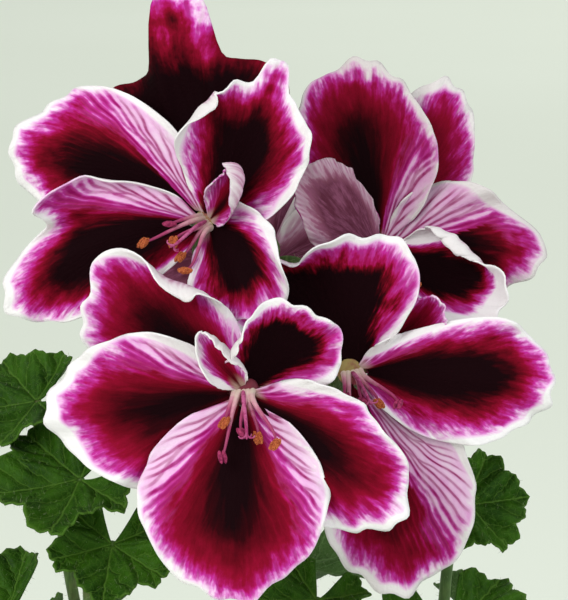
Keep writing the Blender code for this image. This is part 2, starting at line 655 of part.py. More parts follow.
def make_stamens(name, bloom):
    """A bloom's filaments, bent one way out of the throat, each with its anther."""
    facing = unit(bloom.facing)
    foot = np.array(bloom.throat) + (THROAT_DEPTH + GAP + 0.5) * facing
    aim = unit(bloom.stamens_to)
    across = unit(np.cross(aim, facing))
    pieces = [ball("stamen_foot_" + name, face_to_world(foot), (0.8, 0.8, 0.5), (0, 0, 1), "stamen", 5, 3)]
    for k in range(STAMENS):
        fanned = (k / (STAMENS - 1) - 0.5) * 0.9
        length = FILAMENT_LENGTH * (0.8 + 0.25 * math.sin(2.4 * k + 1))
        tip = foot + length * unit(aim + fanned * across + 0.12 * math.cos(3 * k) * facing)
        handles = (foot, foot + 0.4 * length * facing, tip - 0.25 * length * aim, tip)
        points = bezier(handles, (0.0, 1 / 3, 1.0))
        radii = [FILAMENT_RADIUS] * 3
        pieces.append(tube(f"filament_{name}_{k}", face_to_world(points), radii, "stamen", 0))
        outward = face_to_world(points[-1] - points[-2]) - face_to_world((0, 0, 0))
        anther = (0.55, 0.55, 0.5 * ANTHER_LENGTH)
        pieces.append(ball(f"anther_{name}_{k}", face_to_world(tip), anther, outward, "stamen", 4, 3))
    return fuse(f"bloom_{name}_stamens", pieces, "stamen")


def make_leaf(number, leaf):
    """A leaf: its toothed, lobed and pleated blade, grown on a stalk that leaves the stem."""
    path, radii = STEM_PATHS[leaf.shoot]
    share = leaf.knot / STEM_KNOTS
    node, centre = bezier(path, share), np.array(leaf.centre, float)
    outward = unit((centre - node) * (1, 1, 0))
    rising = unit(outward + (0, 0, 0.6))
    clear = radii[0] + (radii[1] - radii[0]) * share + GAP + PETIOLE_RADIUS * rising[2]
    start = node + outward * clear
    span = np.linalg.norm(centre - start)
    handles = (start, start + 0.35 * span * rising, centre - 0.3 * span * unit(leaf.normal), centre)
    points = bezier(handles, np.linspace(0, 1, 6)) * MM
    stalk = tube(f"leaf_{number:02d}", points, [PETIOLE_RADIUS] * len(points), "leaf", 0)

    def surface(u, rho):
        return leaf_points(leaf, u, rho)

    lamina = sheet(f"lamina_{number:02d}", surface, (2 * LEAF_TEETH, 2), LEAF_THICKNESS, "leaf")
    return fuse(f"leaf_{number:02d}", [lamina, stalk], "leaf")


def main():
    """Builds the whole plant from an empty scene."""
    for obj in list(bpy.data.objects):
        bpy.data.objects.remove(obj)
    plant = bpy.data.collections.new("regal_pelargonium")
    bpy.context.scene.collection.children.link(plant)
    make_pot()
    make_soil()
    make_stem()
    make_flower_stalk()
    for name, bloom in BLOOMS.items():
        make_bloom(name, bloom)
    for number, leaf in enumerate(LEAVES, 1):
        make_leaf(number, leaf)


main()
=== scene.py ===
# %% [markdown]
# A regal pelargonium in its pot: one flower head of five wavy blooms over lobed green leaves. The packed
# model holds every piece at its real size as a coarse solid. This lesson dresses those solids. It keeps
# their places and main forms, and adds what a close look shows, such as ruffled margins, veins, pollen,
# hairs and crumbs of soil. The model is loaded first, because all that follows is built round it.

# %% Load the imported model
from collections import namedtuple
from contextlib import contextmanager
import math

import bmesh
import bpy
import numpy as np
from mathutils import Matrix, Vector


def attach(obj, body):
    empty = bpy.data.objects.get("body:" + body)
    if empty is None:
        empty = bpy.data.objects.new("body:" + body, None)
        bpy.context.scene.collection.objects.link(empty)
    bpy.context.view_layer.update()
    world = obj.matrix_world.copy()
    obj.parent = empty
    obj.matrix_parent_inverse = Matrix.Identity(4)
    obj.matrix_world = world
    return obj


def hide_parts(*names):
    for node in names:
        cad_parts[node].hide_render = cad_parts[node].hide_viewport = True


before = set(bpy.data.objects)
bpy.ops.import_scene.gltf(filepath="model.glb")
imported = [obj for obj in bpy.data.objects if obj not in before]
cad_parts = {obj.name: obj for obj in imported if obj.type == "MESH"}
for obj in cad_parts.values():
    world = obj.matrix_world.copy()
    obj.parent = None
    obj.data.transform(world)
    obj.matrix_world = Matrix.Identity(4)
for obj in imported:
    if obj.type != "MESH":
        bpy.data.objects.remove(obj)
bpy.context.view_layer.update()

MM = 0.001

# %% [markdown]
# The photograph looks at the flower head from a little above. A long lens from nearby, with no tilt of the
# film, gives its flat perspective. The flower head fills the frame, so the pot and most leaves lie below it.

# %% Camera
LENS = 144.0
CAMERA_REACH = 0.42
CAMERA_RISE = math.radians(12)
LOOK_AT = Vector((0.0, -0.022, 0.238))


def put(name, data):
    """A new object with the data, linked into the scene."""
    made = bpy.data.objects.new(name, data)
    bpy.context.scene.collection.objects.link(made)
    return made


def aim_at(thing, place, target):
    """Stands a camera or a lamp at a place and turns it to a target."""
    thing.location = place
    thing.rotation_euler = (Vector(target) - Vector(place)).to_track_quat("-Z", "Y").to_euler()


camera = put("camera", bpy.data.cameras.new("camera"))
camera.data.lens = LENS
back = Vector((0.0, -math.cos(CAMERA_RISE), math.sin(CAMERA_RISE)))
aim_at(camera, LOOK_AT + CAMERA_REACH * back, LOOK_AT)
bpy.context.scene.camera = camera
print("camera at", [round(c, 3) for c in camera.location])

# %% [markdown]
# The light is that of a window on a dull day. A broad lamp at the upper left of the camera makes the petal
# rims bright, a weaker one fills from the right, a third lights the floor far back, and the pale world light
# keeps the shadows soft. The Standard view keeps a deep crimson deep, where a filmic one would wash it out.

# %% Lights and world
LAMPS = (
    ("key_lamp", (-0.55, -0.75, 0.75), LOOK_AT, 0.6, 7.0, (1.0, 0.98, 0.95)),
    ("fill_lamp", (0.9, -0.6, 0.75), LOOK_AT, 0.8, 4.6, (0.92, 0.96, 1.0)),
    ("floor_lamp", (1.5, 3.2, 2.2), (1.2, 2.6, 0.0), 2.5, 20.0, (1.0, 1.0, 0.97)),
)
WORLD_COLOUR = (0.86, 0.90, 0.84, 1.0)
WORLD_STRENGTH = 0.72

for name, place, target, size, watts, colour in LAMPS:
    lamp = put(name, bpy.data.lights.new(name, "AREA"))
    lamp.data.size = size
    lamp.data.energy = watts
    lamp.data.color = colour
    lamp.visible_camera = False
    aim_at(lamp, place, target)

world = bpy.data.worlds.new("dull_day")
world.use_nodes = True
sky = world.node_tree.nodes["Background"]
sky.inputs["Color"].default_value = WORLD_COLOUR
sky.inputs["Strength"].default_value = WORLD_STRENGTH
bpy.context.scene.world = world
bpy.context.scene.view_settings.view_transform = "Standard"
print("lamps:", [lamp[0] for lamp in LAMPS])

# %% [markdown]
# Every finish is a tree of shader nodes, and the same few steps come back in all of them. These helpers
# write a tree the way one writes a sum: a node's output is wrapped as a value that can be added, subtracted,
# multiplied and divided, and each of these makes the Math node that it needs.

# %% Values to calculate with


class Value:
    """A node's output, to calculate with as with a number."""

    def __init__(self, socket):
        self.socket = socket
        self.tree = socket.id_data

    def __add__(self, other):
        return maths("ADD", self, other)

    def __sub__(self, other):
        return maths("SUBTRACT", self, other)

    def __rsub__(self, other):
        return maths("SUBTRACT", other, self)

    def __mul__(self, other):
        return maths("MULTIPLY", self, other)

    def __truediv__(self, other):
        return maths("DIVIDE", self, other)


def feed(socket, value):
    """Gives a socket a number, a colour or another node's output."""
    value = getattr(value, "socket", value)
    if isinstance(value, bpy.types.NodeSocket):
        socket.id_data.links.new(value, socket)
    elif socket.type == "RGBA":
        socket.default_value = (*value, 1.0)
    else:
        socket.default_value = value


def node(tree, kind, given, **settings):
    """A new node with its settings made and its inputs fed, by name or by number."""
    made = tree.nodes.new(kind)
    for name, value in settings.items():
        setattr(made, name, value)
    for place, value in given.items():
        feed(made.inputs[place], value)
    return made


def maths(operation, *values):
    """The result of a Math node."""
    tree = next(value.tree for value in values if isinstance(value, Value))
    return Value(node(tree, "ShaderNodeMath", dict(enumerate(values)), operation=operation).outputs[0])


print("values ready")

# %% Helpers that write node trees


def smooth_step(value, low, high, way="SMOOTHSTEP"):
    """0 below low, 1 above high, and between them a soft rise, or a straight one (LINEAR)."""
    given = {"Value": value, "From Min": low, "From Max": high}
    return Value(node(value.tree, "ShaderNodeMapRange", given, interpolation_type=way).outputs["Result"])


def vector_of(*parts):
    """A vector from three numbers, of which the first is a node's."""
    return Value(node(parts[0].tree, "ShaderNodeCombineXYZ", dict(enumerate(parts))).outputs[0])


def parts_of(vector):
    """A vector's three numbers."""
    return [Value(part) for part in node(vector.tree, "ShaderNodeSeparateXYZ", {0: vector}).outputs]


def noise(vector, scale, detail=2.0, roughness=0.5):
    """Cloudy noise from 0 to 1."""
    given = {"Vector": vector, "Scale": scale, "Detail": detail, "Roughness": roughness}
    return Value(node(vector.tree, "ShaderNodeTexNoise", given).outputs["Fac"])


def blend(share, first, second, way="MIX"):
    """Two colours mixed: the first where the share is 0, the second where it is 1."""
    given = {0: share, 6: first, 7: second}
    return Value(node(share.tree, "ShaderNodeMix", given, data_type="RGBA", blend_type=way).outputs[2])


def ramp(value, low, high, stops):
    """A colour read from (place, red, green, blue) stops, at a value from low to high."""
    made = node(value.tree, "ShaderNodeValToRGB", {0: smooth_step(value, low, high, "LINEAR")})
    elements = made.color_ramp.elements
    while len(elements) < len(stops):
        elements.new(0.5)
    for element, (place, *colour) in zip(elements, stops):
        element.position = (place - low) / (high - low)
        element.color = (*colour, 1.0)
    return Value(made.outputs[0])


def attribute(tree, name, kind="Vector"):
    """A value that the mesh carries at its points."""
    return Value(node(tree, "ShaderNodeAttribute", {}, attribute_name=name).outputs[kind])


def object_place(tree, stretch=(1.0, 1.0, 1.0)):
    """The point's own place in the plant, in metres, with each of its numbers multiplied."""
    place = tree.nodes.new("ShaderNodeTexCoord").outputs["Object"]
    return Value(node(tree, "ShaderNodeVectorMath", {0: place, 1: stretch}, operation="MULTIPLY").outputs[0])


print("node helpers ready")

# %% Helpers for finishes and shared effects


def shader_inputs(finish):
    """The inputs of a finish's Principled BSDF."""
    return finish.node_tree.nodes["Principled BSDF"].inputs


def new_finish(name, roughness, specular):
    """An empty finish and its tree."""
    finish = bpy.data.materials.new(name)
    finish.use_nodes = True
    shader_inputs(finish)["Roughness"].default_value = roughness
    shader_inputs(finish)["Specular IOR Level"].default_value = specular
    return finish, finish.node_tree


def dress(finish, colour, height=None, depth=0.0):
    """Gives a finish its colour, and where there is a height, its relief of a depth in metres."""
    feed(shader_inputs(finish)["Base Color"], colour)
    if height:
        bump = node(finish.node_tree, "ShaderNodeBump", {"Height": height, "Distance": depth})
        feed(shader_inputs(finish)["Normal"], bump.outputs["Normal"])
    return finish


def new_group(name, kind, inputs, outputs):
    """An empty node group, with what it is given by name, and the sockets of its results."""
    group = bpy.data.node_groups.new(name, kind)
    for sockets, way in ((inputs, "INPUT"), (outputs, "OUTPUT")):
        for socket_name, socket_kind in sockets.items():
            group.interface.new_socket(socket_name, in_out=way, socket_type=f"NodeSocket{socket_kind}")
    given = group.nodes.new("NodeGroupInput").outputs
    return group, {key: Value(given[key]) for key in inputs}, group.nodes.new("NodeGroupOutput").inputs


def new_effect(name, inputs, outputs):
    """An empty group for an effect that finishes share. All of its sockets are plain numbers."""
    sockets = (dict.fromkeys(names.split(), "Float") for names in (inputs, outputs))
    group, given, out = new_group(name, "ShaderNodeTree", *sockets)
    return group, given.values(), out


def use_effect(group, **given):
    """A shared effect placed in a finish: its results, in their order."""
    made = node(given["Out"].tree, "ShaderNodeGroup", given, node_tree=group)
    return [Value(result) for result in made.outputs]


print("finish helpers ready")

# %% [markdown]
# The colour of a regal pelargonium runs along the petal's rays. From the middle outwards it goes from
# near black through crimson and magenta to white, and each edge between two colours is torn into
# streaks. One effect gives the tear: noise that is stretched along the rays. The other gives the dark
# veins: lines along the rays, where new ones part from the old as the petal widens.

# %% Effects that follow a petal's rays
STREAK_LENGTH = 5.0
STREAK_CONTRAST = 3.0
VEIN_BOW = 0.015
VEIN_SWAY = 4.5
HALO_WIDTH = 2.0
# A parting is (share of the spacing, start, end, strength): new veins leave the old between start and end.
VEIN_PARTINGS = (
    (0.0, 0.0, 1.0, 1.0),
    (0.5, 5.0, 12.0, 0.9),
    (0.25, 11.0, 20.0, 0.75),
    (0.75, 14.0, 24.0, 0.65),
)


def off_middle(turns):
    """How far a number lies from the middle between its two whole neighbours."""
    return maths("ABSOLUTE", maths("FRACT", turns) - 0.5)


def make_streaks():
    """Noise stretched along the rays, from about -1 to 1."""
    group, given, out = new_effect("ray_streaks", "Ray Out Seed Fineness", "Streak")
    ray, reach, seed, fineness = given
    sway = noise(vector_of(ray * 0.12, reach, seed), 0.22, 1.0)
    across = (sway * 3.0 + ray) * fineness + seed * 17.3
    grain = noise(vector_of(across, reach * (1 / STREAK_LENGTH), seed), 1.0, 3.5, 0.62)
    feed(out["Streak"], (grain - 0.5) * STREAK_CONTRAST)
    return group


def make_veins():
    """Lines along the rays, which part in two as they run out, and a wider halo round each."""
    group, given, out = new_effect("ray_veins", "Ray Out Seed Spacing Width", "Vein Halo")
    ray, reach, seed, spacing, width = given
    sway = noise(vector_of(ray * 0.14, reach * 0.5, seed), 0.3, 1.0)
    spreading = reach * VEIN_BOW + 1.0
    swayed = sway * VEIN_SWAY + ray / spreading
    drawn = {"Vein": None, "Halo": None}
    for parting, start, end, strength in VEIN_PARTINGS:
        off = off_middle(swayed / spacing + smooth_step(reach, start, end) * parting)
        gap = off * spacing * math.radians(1) * reach * spreading
        for kind, edge in (("Vein", width), ("Halo", width * HALO_WIDTH)):
            line = (1.0 - smooth_step(gap, edge * 0.3, edge)) * strength
            drawn[kind] = maths("MAXIMUM", drawn[kind], line) if drawn[kind] else line
    for kind, line in drawn.items():
        feed(out[kind], line)
    return group


STREAKS = make_streaks()
VEINS = make_veins()
print("effects:", STREAKS.name, VEINS.name)

# %% [markdown]
# The flower head has a face of its own: right, up and out, where out points at someone who looks it in the
# face. The blooms are laid out in it, in millimetres, exactly as in the solids, so each fine petal lies
# where its solid one lies. A petal needs only a few numbers: three points that bend its midrib, half its
# width, how far its edges cup forward, its waves, where its margin curls over, and where a lobe stands out.

# %% The flower head's frame and the table of petals
HEAD_CENTRE = (0.0, -22.0, 238.0)
HEAD_TILT = math.radians(12)
HUB = (0.0, -6.0, -31.0)

Petal = namedtuple(
    "Petal",
    "near far tip half_width cup roll wave curls crease lobes dents",
    defaults=(0, (0.8, 3, 0), (), 0.72, (), ()),
)
Bloom = namedtuple("Bloom", "throat facing stamens_to petals")

# near, far and tip are measured from the throat. cup is how far the blade's edges turn forward, in
# degrees, at its foot and at its tip. A wave is (height, crests, phase). A curl is (place across
# from -1 to 1, spread, degrees forward) and begins at the crease, a share of the way out. A lobe is
# (place, spread, share of the length) and a dent (place across, place along, spread, height forward).
BLOOMS = {
    "a": Bloom((-13.3, 13.6, 0.0), (-0.25, 0.05, 1.0), (-8.0, -6.0, 6.0), {
        "left_upper": Petal(
            (-9, 7, 1), (-22, 15.5, -0.5), (-35.5, 12.5, -7), 12.5, (40, -28), wave=(1.0, 3, 40),
            lobes=((-0.35, 0.3, 0.08), (0.24, 0.14, -0.05), (0.95, 0.3, -0.14))),
        "left_lower": Petal(
            (-9, -1, 2), (-21, -2, 1.5), (-36.5, -14.5, -3.5), 13.0, (45, 10), wave=(1.6, 4, 70),
            curls=((0.66, 0.26, 80),), lobes=((0.64, 0.22, 0.2), (0.36, 0.14, -0.1), (-0.2, 0.3, 0.12))),
        "right": Petal(
            (4, -4, 6), (8, -9.5, 10), (8.8, -17, 8.5), 11.0, (40, 0), wave=(1.1, 4, 30),
            lobes=((-0.66, 0.28, -0.16), (0.5, 0.3, 0.12))),
        "right_flap": Petal(
            (4, 4, 8), (6.5, 7, 10), (7, 12.5, 12), 4.2, (50, 70), wave=(0.3, 2, 0), curls=((0, 0.6, 120),)),
        "right_upper": Petal(
            (5, 8, 5), (10, 18, 9), (12.6, 27.5, 10), 12.4, (45, 50), -14, wave=(1.1, 4, 200),
            curls=((-0.45, 0.2, 130),), crease=0.8,
            lobes=((0.0, 0.08, 0.18), (-0.58, 0.28, 0.22), (0.55, 0.25, 0.06))),
        "top": Petal(
            (-1, 9, -3), (-4, 24, -5), (-5.2, 41, -7), 18.0, (14, -20), wave=(1.0, 3, 90),
            lobes=((0.01, 0.14, 0.4), (-0.6, 0.32, 0.22), (0.6, 0.32, 0.22)),
            dents=((0.0, 0.85, 0.25, 4.0),)),
    }),
    "b": Bloom((-6.8, -15.4, 12.0), (-0.05, -0.1, 1.0), (0.0, -9.5, 5.0), {
        "left": Petal(
            (-10, -1.5, 2), (-23, -6, 4), (-33.5, -6, 2), 13.6, (30, -16), wave=(1.0, 5, 20),
            lobes=((-0.34, 0.26, -0.08), (-0.78, 0.2, 0.1))),
        "bottom": Petal((-1, -9, 3), (-2.5, -23, 6), (-2.2, -35.5, 4), 16.3, (24, -18), wave=(1.0, 4, 100)),
        "right": Petal(
            (7, -5.5, 3), (17.5, -13, 5), (28.5, -19.5, 3), 11.4, (36, -22), wave=(1.1, 4, 0),
            lobes=((-0.6, 0.3, -0.12), (0.3, 0.4, 0.04))),
        "upper_right": Petal(
            (2.5, 4.5, 1), (8.7, 11.3, 2), (12, 13.3, 9), 11.2, (60, 50), -24, wave=(0.9, 3, 60),
            curls=((0.2, 0.7, -40), (-0.85, 0.25, 60)), lobes=((0.95, 0.35, -0.3),)),
        "upper_left": Petal(
            (-7.5, 6, -4), (-17.5, 12.5, -6), (-27.3, 20.5, -5), 12.8, (34, -10), wave=(0.9, 3, 150),
            curls=((0.46, 0.19, 175),), crease=0.7, lobes=((0.14, 0.13, 0.1), (0.9, 0.28, -0.3))),
        "fold": Petal(
            (-3, 4, 5), (-6, 7.5, 7), (-7, 12.5, 8), 3.8, (40, 60), wave=(0.4, 2, 0),
            curls=((0.4, 0.6, 120),)),
    }),
    "c": Bloom((11.9, -12.6, -3.0), (0.15, -0.1, 1.0), (2.0, -6.0, 7.0), {
        "right": Petal(
            (10, 0, 3), (23, 0, 4), (36, -2, -1), 12.4, (34, -20), wave=(1.1, 4, 50),
            lobes=((-0.85, 0.32, -0.42), (0.45, 0.3, 0.05))),
        "bottom": Petal((4, -9, 1), (9, -24, 1.5), (11.5, -39.5, -2), 14.0, (26, -16), wave=(1.0, 4, 0)),
        "top": Petal(
            (-2, 8, 2), (-6, 18, 4), (-9.5, 28, 5), 16.6, (34, -24), 12, wave=(1.2, 3, 0),
            curls=((-0.3, 0.42, 145),), lobes=((-0.45, 0.28, 0.4), (0.65, 0.25, 0.14))),
        "right_upper": Petal(
            (7, 4, -1), (13, 8, 0), (15.5, 15, 3.5), 5.2, (30, 20), wave=(0.4, 2, 0), curls=((0, 0.8, 60),)),
        "left_upper": Petal((-4, 3, 1), (-7, 6, 0), (-9, 10, -1), 5.2, (30, 10), wave=(0.3, 2, 0)),
    }),
    "d": Bloom((17.3, 8.4, -13.0), (0.2, 0.15, 1.0), (0.0, -5.0, 8.0), {
        "top": Petal(
            (-1, 9, 2), (-4, 22, 3), (-6.5, 35, -1), 13.6, (45, 20), wave=(0.9, 3, 0),
            lobes=((0.75, 0.2, 0.08),)),
        "top_right": Petal((4, 9, -2), (9, 21, -4), (14, 31.5, -7), 10.0, (20, -10), wave=(0.9, 3, 90)),
        "right": Petal(
            (9, 3, 0), (20, 4, 1), (29.5, -1.5, -3), 12.6, (34, -16), wave=(1.4, 4, 60),
            lobes=((-0.02, 0.16, 0.06), (-0.64, 0.42, -0.16))),
        "lower_right": Petal(
            (7, -3, 2), (15, -6, 4), (26, -7, 2), 10.5, (40, 20), wave=(0.7, 3, 0),
            curls=((-0.4, 0.6, 190),), crease=0.62),
        "left": Petal((-4, 4, 8), (-9, 9.5, 14), (-14, 15.5, 15), 8.4, (40, 20), 175, wave=(0.7, 3, 0)),
    }),
    "e": Bloom((-3.0, 7.0, -49.0), (-0.1, 0.3, -1.0), (-1.0, -7.0, -6.0), {
        "left": Petal((-9, 2, -3), (-20, 4, -5), (-30, -1, -3), 12.0, (34, -20), wave=(1.1, 4, 10)),
        "right": Petal((9, 3, -3), (20, 5, -5), (29, 0, -3), 12.0, (34, -20), wave=(1.1, 4, 90)),
        "bottom": Petal((0, -9, -3), (1, -22, -6), (2, -32, -4), 13.0, (26, -18), wave=(1.0, 4, 40)),
        "top_left": Petal((-4, 9, -4), (-9, 19, -6), (-13, 27, -2), 11.5, (36, -24), wave=(1.0, 3, 20)),
        "top_right": Petal((4, 9, -4), (10, 19, -6), (15, 26, -2), 11.5, (36, -24), wave=(1.0, 3, 110)),
    }),
}

print("petals:", {name: len(bloom.petals) for name, bloom in BLOOMS.items()})

# %% [markdown]
# A petal is a fan of rays from the bloom's throat. The fan's angle runs across, from -1 to 1, and the share
# of the way out runs along each ray from 0 to 1. The blade is bent along its midrib, cupped across it and
# waved towards its margin, and then the part beyond the crease rolls over where the table says so.
# These are the solids' own rules. Only the ruffle of the outermost margin is added here.

# %% The outline of a petal
FAN_ANGLE = math.radians(62)
FAN_REACH = 0.97
FAN_ROUNDNESS = 0.40
FRAY = 0.016
NOTCH = 0.017
CLAW_START = 0.085
CLAW_PINCH = 0.42
MIDRIB_STEPS = 60
HEAD_AXES = np.array((
    (1.0, 0.0, 0.0),
    (0.0, math.sin(HEAD_TILT), math.cos(HEAD_TILT)),
    (0.0, -math.cos(HEAD_TILT), math.sin(HEAD_TILT)),
))


def unit(vectors):
    """The vectors, each with length 1."""
    vectors = np.asarray(vectors, float)
    return vectors / np.linalg.norm(vectors, axis=-1, keepdims=True)


def face_to_world(points):
    """Points of the head's face frame, in millimetres, as points of the plant in metres."""
    return (np.array(HEAD_CENTRE) + np.asarray(points, float) @ HEAD_AXES) * MM


def face_direction(vector):
    """A direction of the head's face frame as one of the plant."""
    return unit(vector @ HEAD_AXES)


def bezier(handles, t):
    """The points of a cubic curve at the values t."""
    a, b, c, d = (np.array(h, float) for h in handles)
    t = np.asarray(t, float)[..., None]
    return (1 - t) ** 3 * a + 3 * (1 - t) ** 2 * t * b + 3 * (1 - t) * t**2 * c + t**3 * d


def midrib(petal, bloom):
    """Length from the throat, points, directions and forward normals along a petal's midrib."""
    handles = [np.array(bloom.throat, float) + np.array(p, float) for p in ((0, 0, 0), *petal[:3])]
    points = bezier(handles, np.linspace(0, 1, MIDRIB_STEPS + 1))
    along = unit(np.gradient(points, axis=0))
    normals = [np.array(bloom.facing, float)]
    for direction in along:
        last = normals[-1]
        normals.append(unit(last - (last @ direction) * direction))
    steps = np.linalg.norm(np.diff(points, axis=0), axis=1)
    return np.concatenate(([0.0], np.cumsum(steps))), points, along, np.array(normals[1:])


def fan(petal, u):
    """Angle and length of the fan's rays at the places u across the petal, for a petal 1 long."""
    angle = FAN_ANGLE * FAN_REACH * (0.6 * u + 0.4 * np.sin(0.5 * math.pi * u))
    length = np.cos(0.5 * math.pi * angle / FAN_ANGLE) ** FAN_ROUNDNESS
    phase = math.radians(petal.wave[2])
    length = length * (1 + FRAY * (np.sin(8 * u + phase) + 0.6 * np.sin(19 * u - 2 * phase)))
    length = length * (1 + NOTCH * np.sin(41 * u + 3 * phase) * (0.5 + 0.5 * np.sin(7 * u + phase)))
    for place, spread, share in petal.lobes:
        length = length * (1 + share * np.exp(-(((u - place) / spread) ** 4)))
    return angle, length


def outline(petal, rib):
    """Furthest reach and widest half width of the fan, and the midrib's length."""
    angles, rays = fan(petal, np.linspace(-1, 1, 81))
    return (rays * np.cos(angles)).max(), (rays * np.sin(angles)).max(), rib[0][-1]


def flat_place(petal, rib, u, rho):
    """A petal's points as if pressed flat: millimetres along the midrib and across it."""
    furthest, widest, length = outline(petal, rib)
    angle, ray = fan(petal, u)
    distance = np.clip(ray * rho * np.cos(angle) / furthest, 0, 1) * length
    pinch = 1 - CLAW_PINCH * (1 - rho) ** 1.6
    return distance, petal.half_width * ray * rho * np.sin(angle) / widest * pinch


lowest = BLOOMS["b"]
print("the lowest petal's midrib:", round(midrib(lowest.petals["bottom"], lowest)[0][-1], 1), "mm")

# %% The bent blade of a petal
RUFFLE = 0.5
RUFFLE_FULL_FROM = 9
SMALL_STEP = 0.01


def ruffle(petal, u, rho):
    """How far the outermost margin stands forward in its small folds, in millimetres."""
    phase = math.radians(petal.wave[2])
    folds = np.sin(15 * u + 2 * phase) + 0.7 * np.sin(26 * u - phase) + 0.4 * np.sin(47 * u + phase)
    return RUFFLE * min(1.0, petal.half_width / RUFFLE_FULL_FROM) * rho**7 * folds


def blade(petal, rib, u, rho):
    """Face frame points of a petal, without its curled margins, at u across and rho along its rays."""
    lengths, *tracks = rib
    distance, offset = flat_place(petal, rib, u, rho)
    share, n = distance / lengths[-1], offset / petal.half_width
    read = [np.stack([np.interp(distance, lengths, track[:, k]) for k in range(3)], -1) for track in tracks]
    place, direction, normal = read[0], unit(read[1]), unit(read[2])
    side = np.cross(direction, normal)
    cos, sin = math.cos(math.radians(petal.roll)), math.sin(math.radians(petal.roll))
    side, normal = cos * side + sin * normal, cos * normal - sin * side
    cup = np.radians(petal.cup[0] + (petal.cup[1] - petal.cup[0]) * share)
    cup = np.where(np.abs(cup) < 1e-3, 1e-3, cup)
    across = petal.half_width * np.sin(cup * n) / cup
    forward = petal.half_width * (1 - np.cos(cup * n)) / cup
    height, crests, phase = petal.wave
    forward = forward + height * rho**2.5 * np.sin(math.pi * crests * u + math.radians(phase))
    forward = forward + ruffle(petal, u, rho)
    for u_at, rho_at, spread, rise in petal.dents:
        forward = forward + rise * np.exp(-(((u - u_at) / spread) ** 2) - ((rho - rho_at) / spread) ** 2)
    return place + side * across[..., None] + normal * forward[..., None]


def petal_points(petal, rib, u, rho):
    """World points of a petal with its margins curled, at u from -1 to 1 and rho from 0 to 1."""
    flat = blade(petal, rib, u, rho)
    degrees = np.zeros_like(u)
    for place, spread, angle in petal.curls:
        degrees = degrees + angle * np.exp(-(((u - place) / spread) ** 2))
    turn = np.radians(np.where(np.abs(degrees) < 0.5, 0.5, degrees))[..., None]
    crease = np.full_like(u, petal.crease)
    ahead, behind = (blade(petal, rib, u, crease + step) for step in (SMALL_STEP, -SMALL_STEP))
    outward = (ahead - behind) / (2 * SMALL_STEP)
    sideways = blade(petal, rib, u + SMALL_STEP, crease) - blade(petal, rib, u - SMALL_STEP, crease)
    forward = unit(np.cross(sideways, outward))
    beyond = np.clip((rho - petal.crease) / (1 - petal.crease), 0, 1)[..., None]
    outward = outward * (1 - petal.crease)
    reach = np.linalg.norm(outward, axis=-1, keepdims=True)
    bent = outward * (np.sin(turn * beyond) / turn - beyond)
    bent = bent + forward * reach * (1 - np.cos(turn * beyond)) / turn
    return face_to_world(flat + bent)


print("ruffle:", RUFFLE, "mm")

# %% [markdown]
# Each petal has its own pattern. On some the dark blotch fills the blade, as on the two upper petals of
# every bloom. On others it is a wedge that widens outwards from the throat, with pale, veined flanks beside
# it. The pattern is worked out at the mesh's points, as a depth in millimetres behind the white rim and
# inside the flanks. The finish only has to tear that depth into streaks and look up a colour.

# %% Paint of each petal
# A row says, for the left and the right side seen from the throat, how far across the blotch reaches at the
# foot and at the tip (2 or more is no flank), how wide the white rim is in millimetres, and how dark the
# middle is. Then come the rim's width along the sides, how much painted shade darkens the petal, and where
# its rim begins.
Paint = namedtuple("Paint", "left_foot left_tip right_foot right_tip rim dark side_rim dull bare",
                   defaults=(None, 0, 0.2))
PAINTS = {
    "a": {
        "left_upper": Paint(2, 2, 0.2, 0.45, 2.4, 1.1),
        "left_lower": Paint(2, 2, 0.4, 0.62, 2.2, 1.3, bare=0.5),
        "right": Paint(2, 2, 0.7, 1.1, 2.2, 2.0),
        "right_flap": Paint(0.5, 0.8, 0.5, 0.8, 1.0, 0.6),
        "right_upper": Paint(2, 2, 2, 2, 2.4, 1.3),
        "top": Paint(2, 2, 2, 2, 2.1, 1.6, side_rim=-3.5),
    },
    "b": {
        "left": Paint(2, 2, 0.5, 0.52, 3.0, 0.62),
        "bottom": Paint(0.62, 0.46, 0.62, 0.46, 1.7, 0.68),
        "right": Paint(0.6, 0.66, 2, 2, 2.2, 0.68),
        "upper_right": Paint(2, 2, 2, 2, 2.2, 3.0),
        "upper_left": Paint(2, 2, 2, 0.12, 2.4, 0.6),
        "fold": Paint(2, 2, 2, 2, 2.4, 0.35),
    },
    "c": {
        "right": Paint(0.45, 0.75, 0.7, 1.1, 2.4, 1.3),
        "bottom": Paint(0.05, 0.3, 2, 2, 2.4, 0.8, dull=0.3),
        "top": Paint(2, 2, 2, 2, 2.3, 3.2),
        "right_upper": Paint(2, 2, 2, 2, 1.0, 0.6),
        "left_upper": Paint(2, 2, 2, 2, 1.0, 0.6),
    },
    "d": {
        "top": Paint(2, 2, 0.3, 0.7, 2.0, 0.7, dull=0.6),
        "top_right": Paint(2, 2, 2, 2, 2.2, 0.4, dull=0.4),
        "right": Paint(-0.05, 0.3, 2, 2, 2.4, 1.2, dull=0.5),
        "lower_right": Paint(2, 2, 2, 2, 4.5, 2.2),
        "left": Paint(2, 2, 2, 2, 0.5, 2.6, dull=0.5, bare=0.5),
    },
    "e": dict.fromkeys(BLOOMS["e"].petals, Paint(2, 2, 2, 2, 1.7, 1.6, dull=0.45)),
}
FLANK_FLOOR = -4.0
RIM_GROWTH = 0.42
TIP_SPREAD = 0.13
CLAW_DEPTH = 1.2
CORE_DEPTH = 9.0
CORE_WIDTH = 0.3


def smooth_rise(values, start, end):
    """0 before start, 1 after end, and a soft rise between them."""
    share = np.clip((values - start) / (end - start), 0, 1)
    return share * share * (3 - 2 * share)


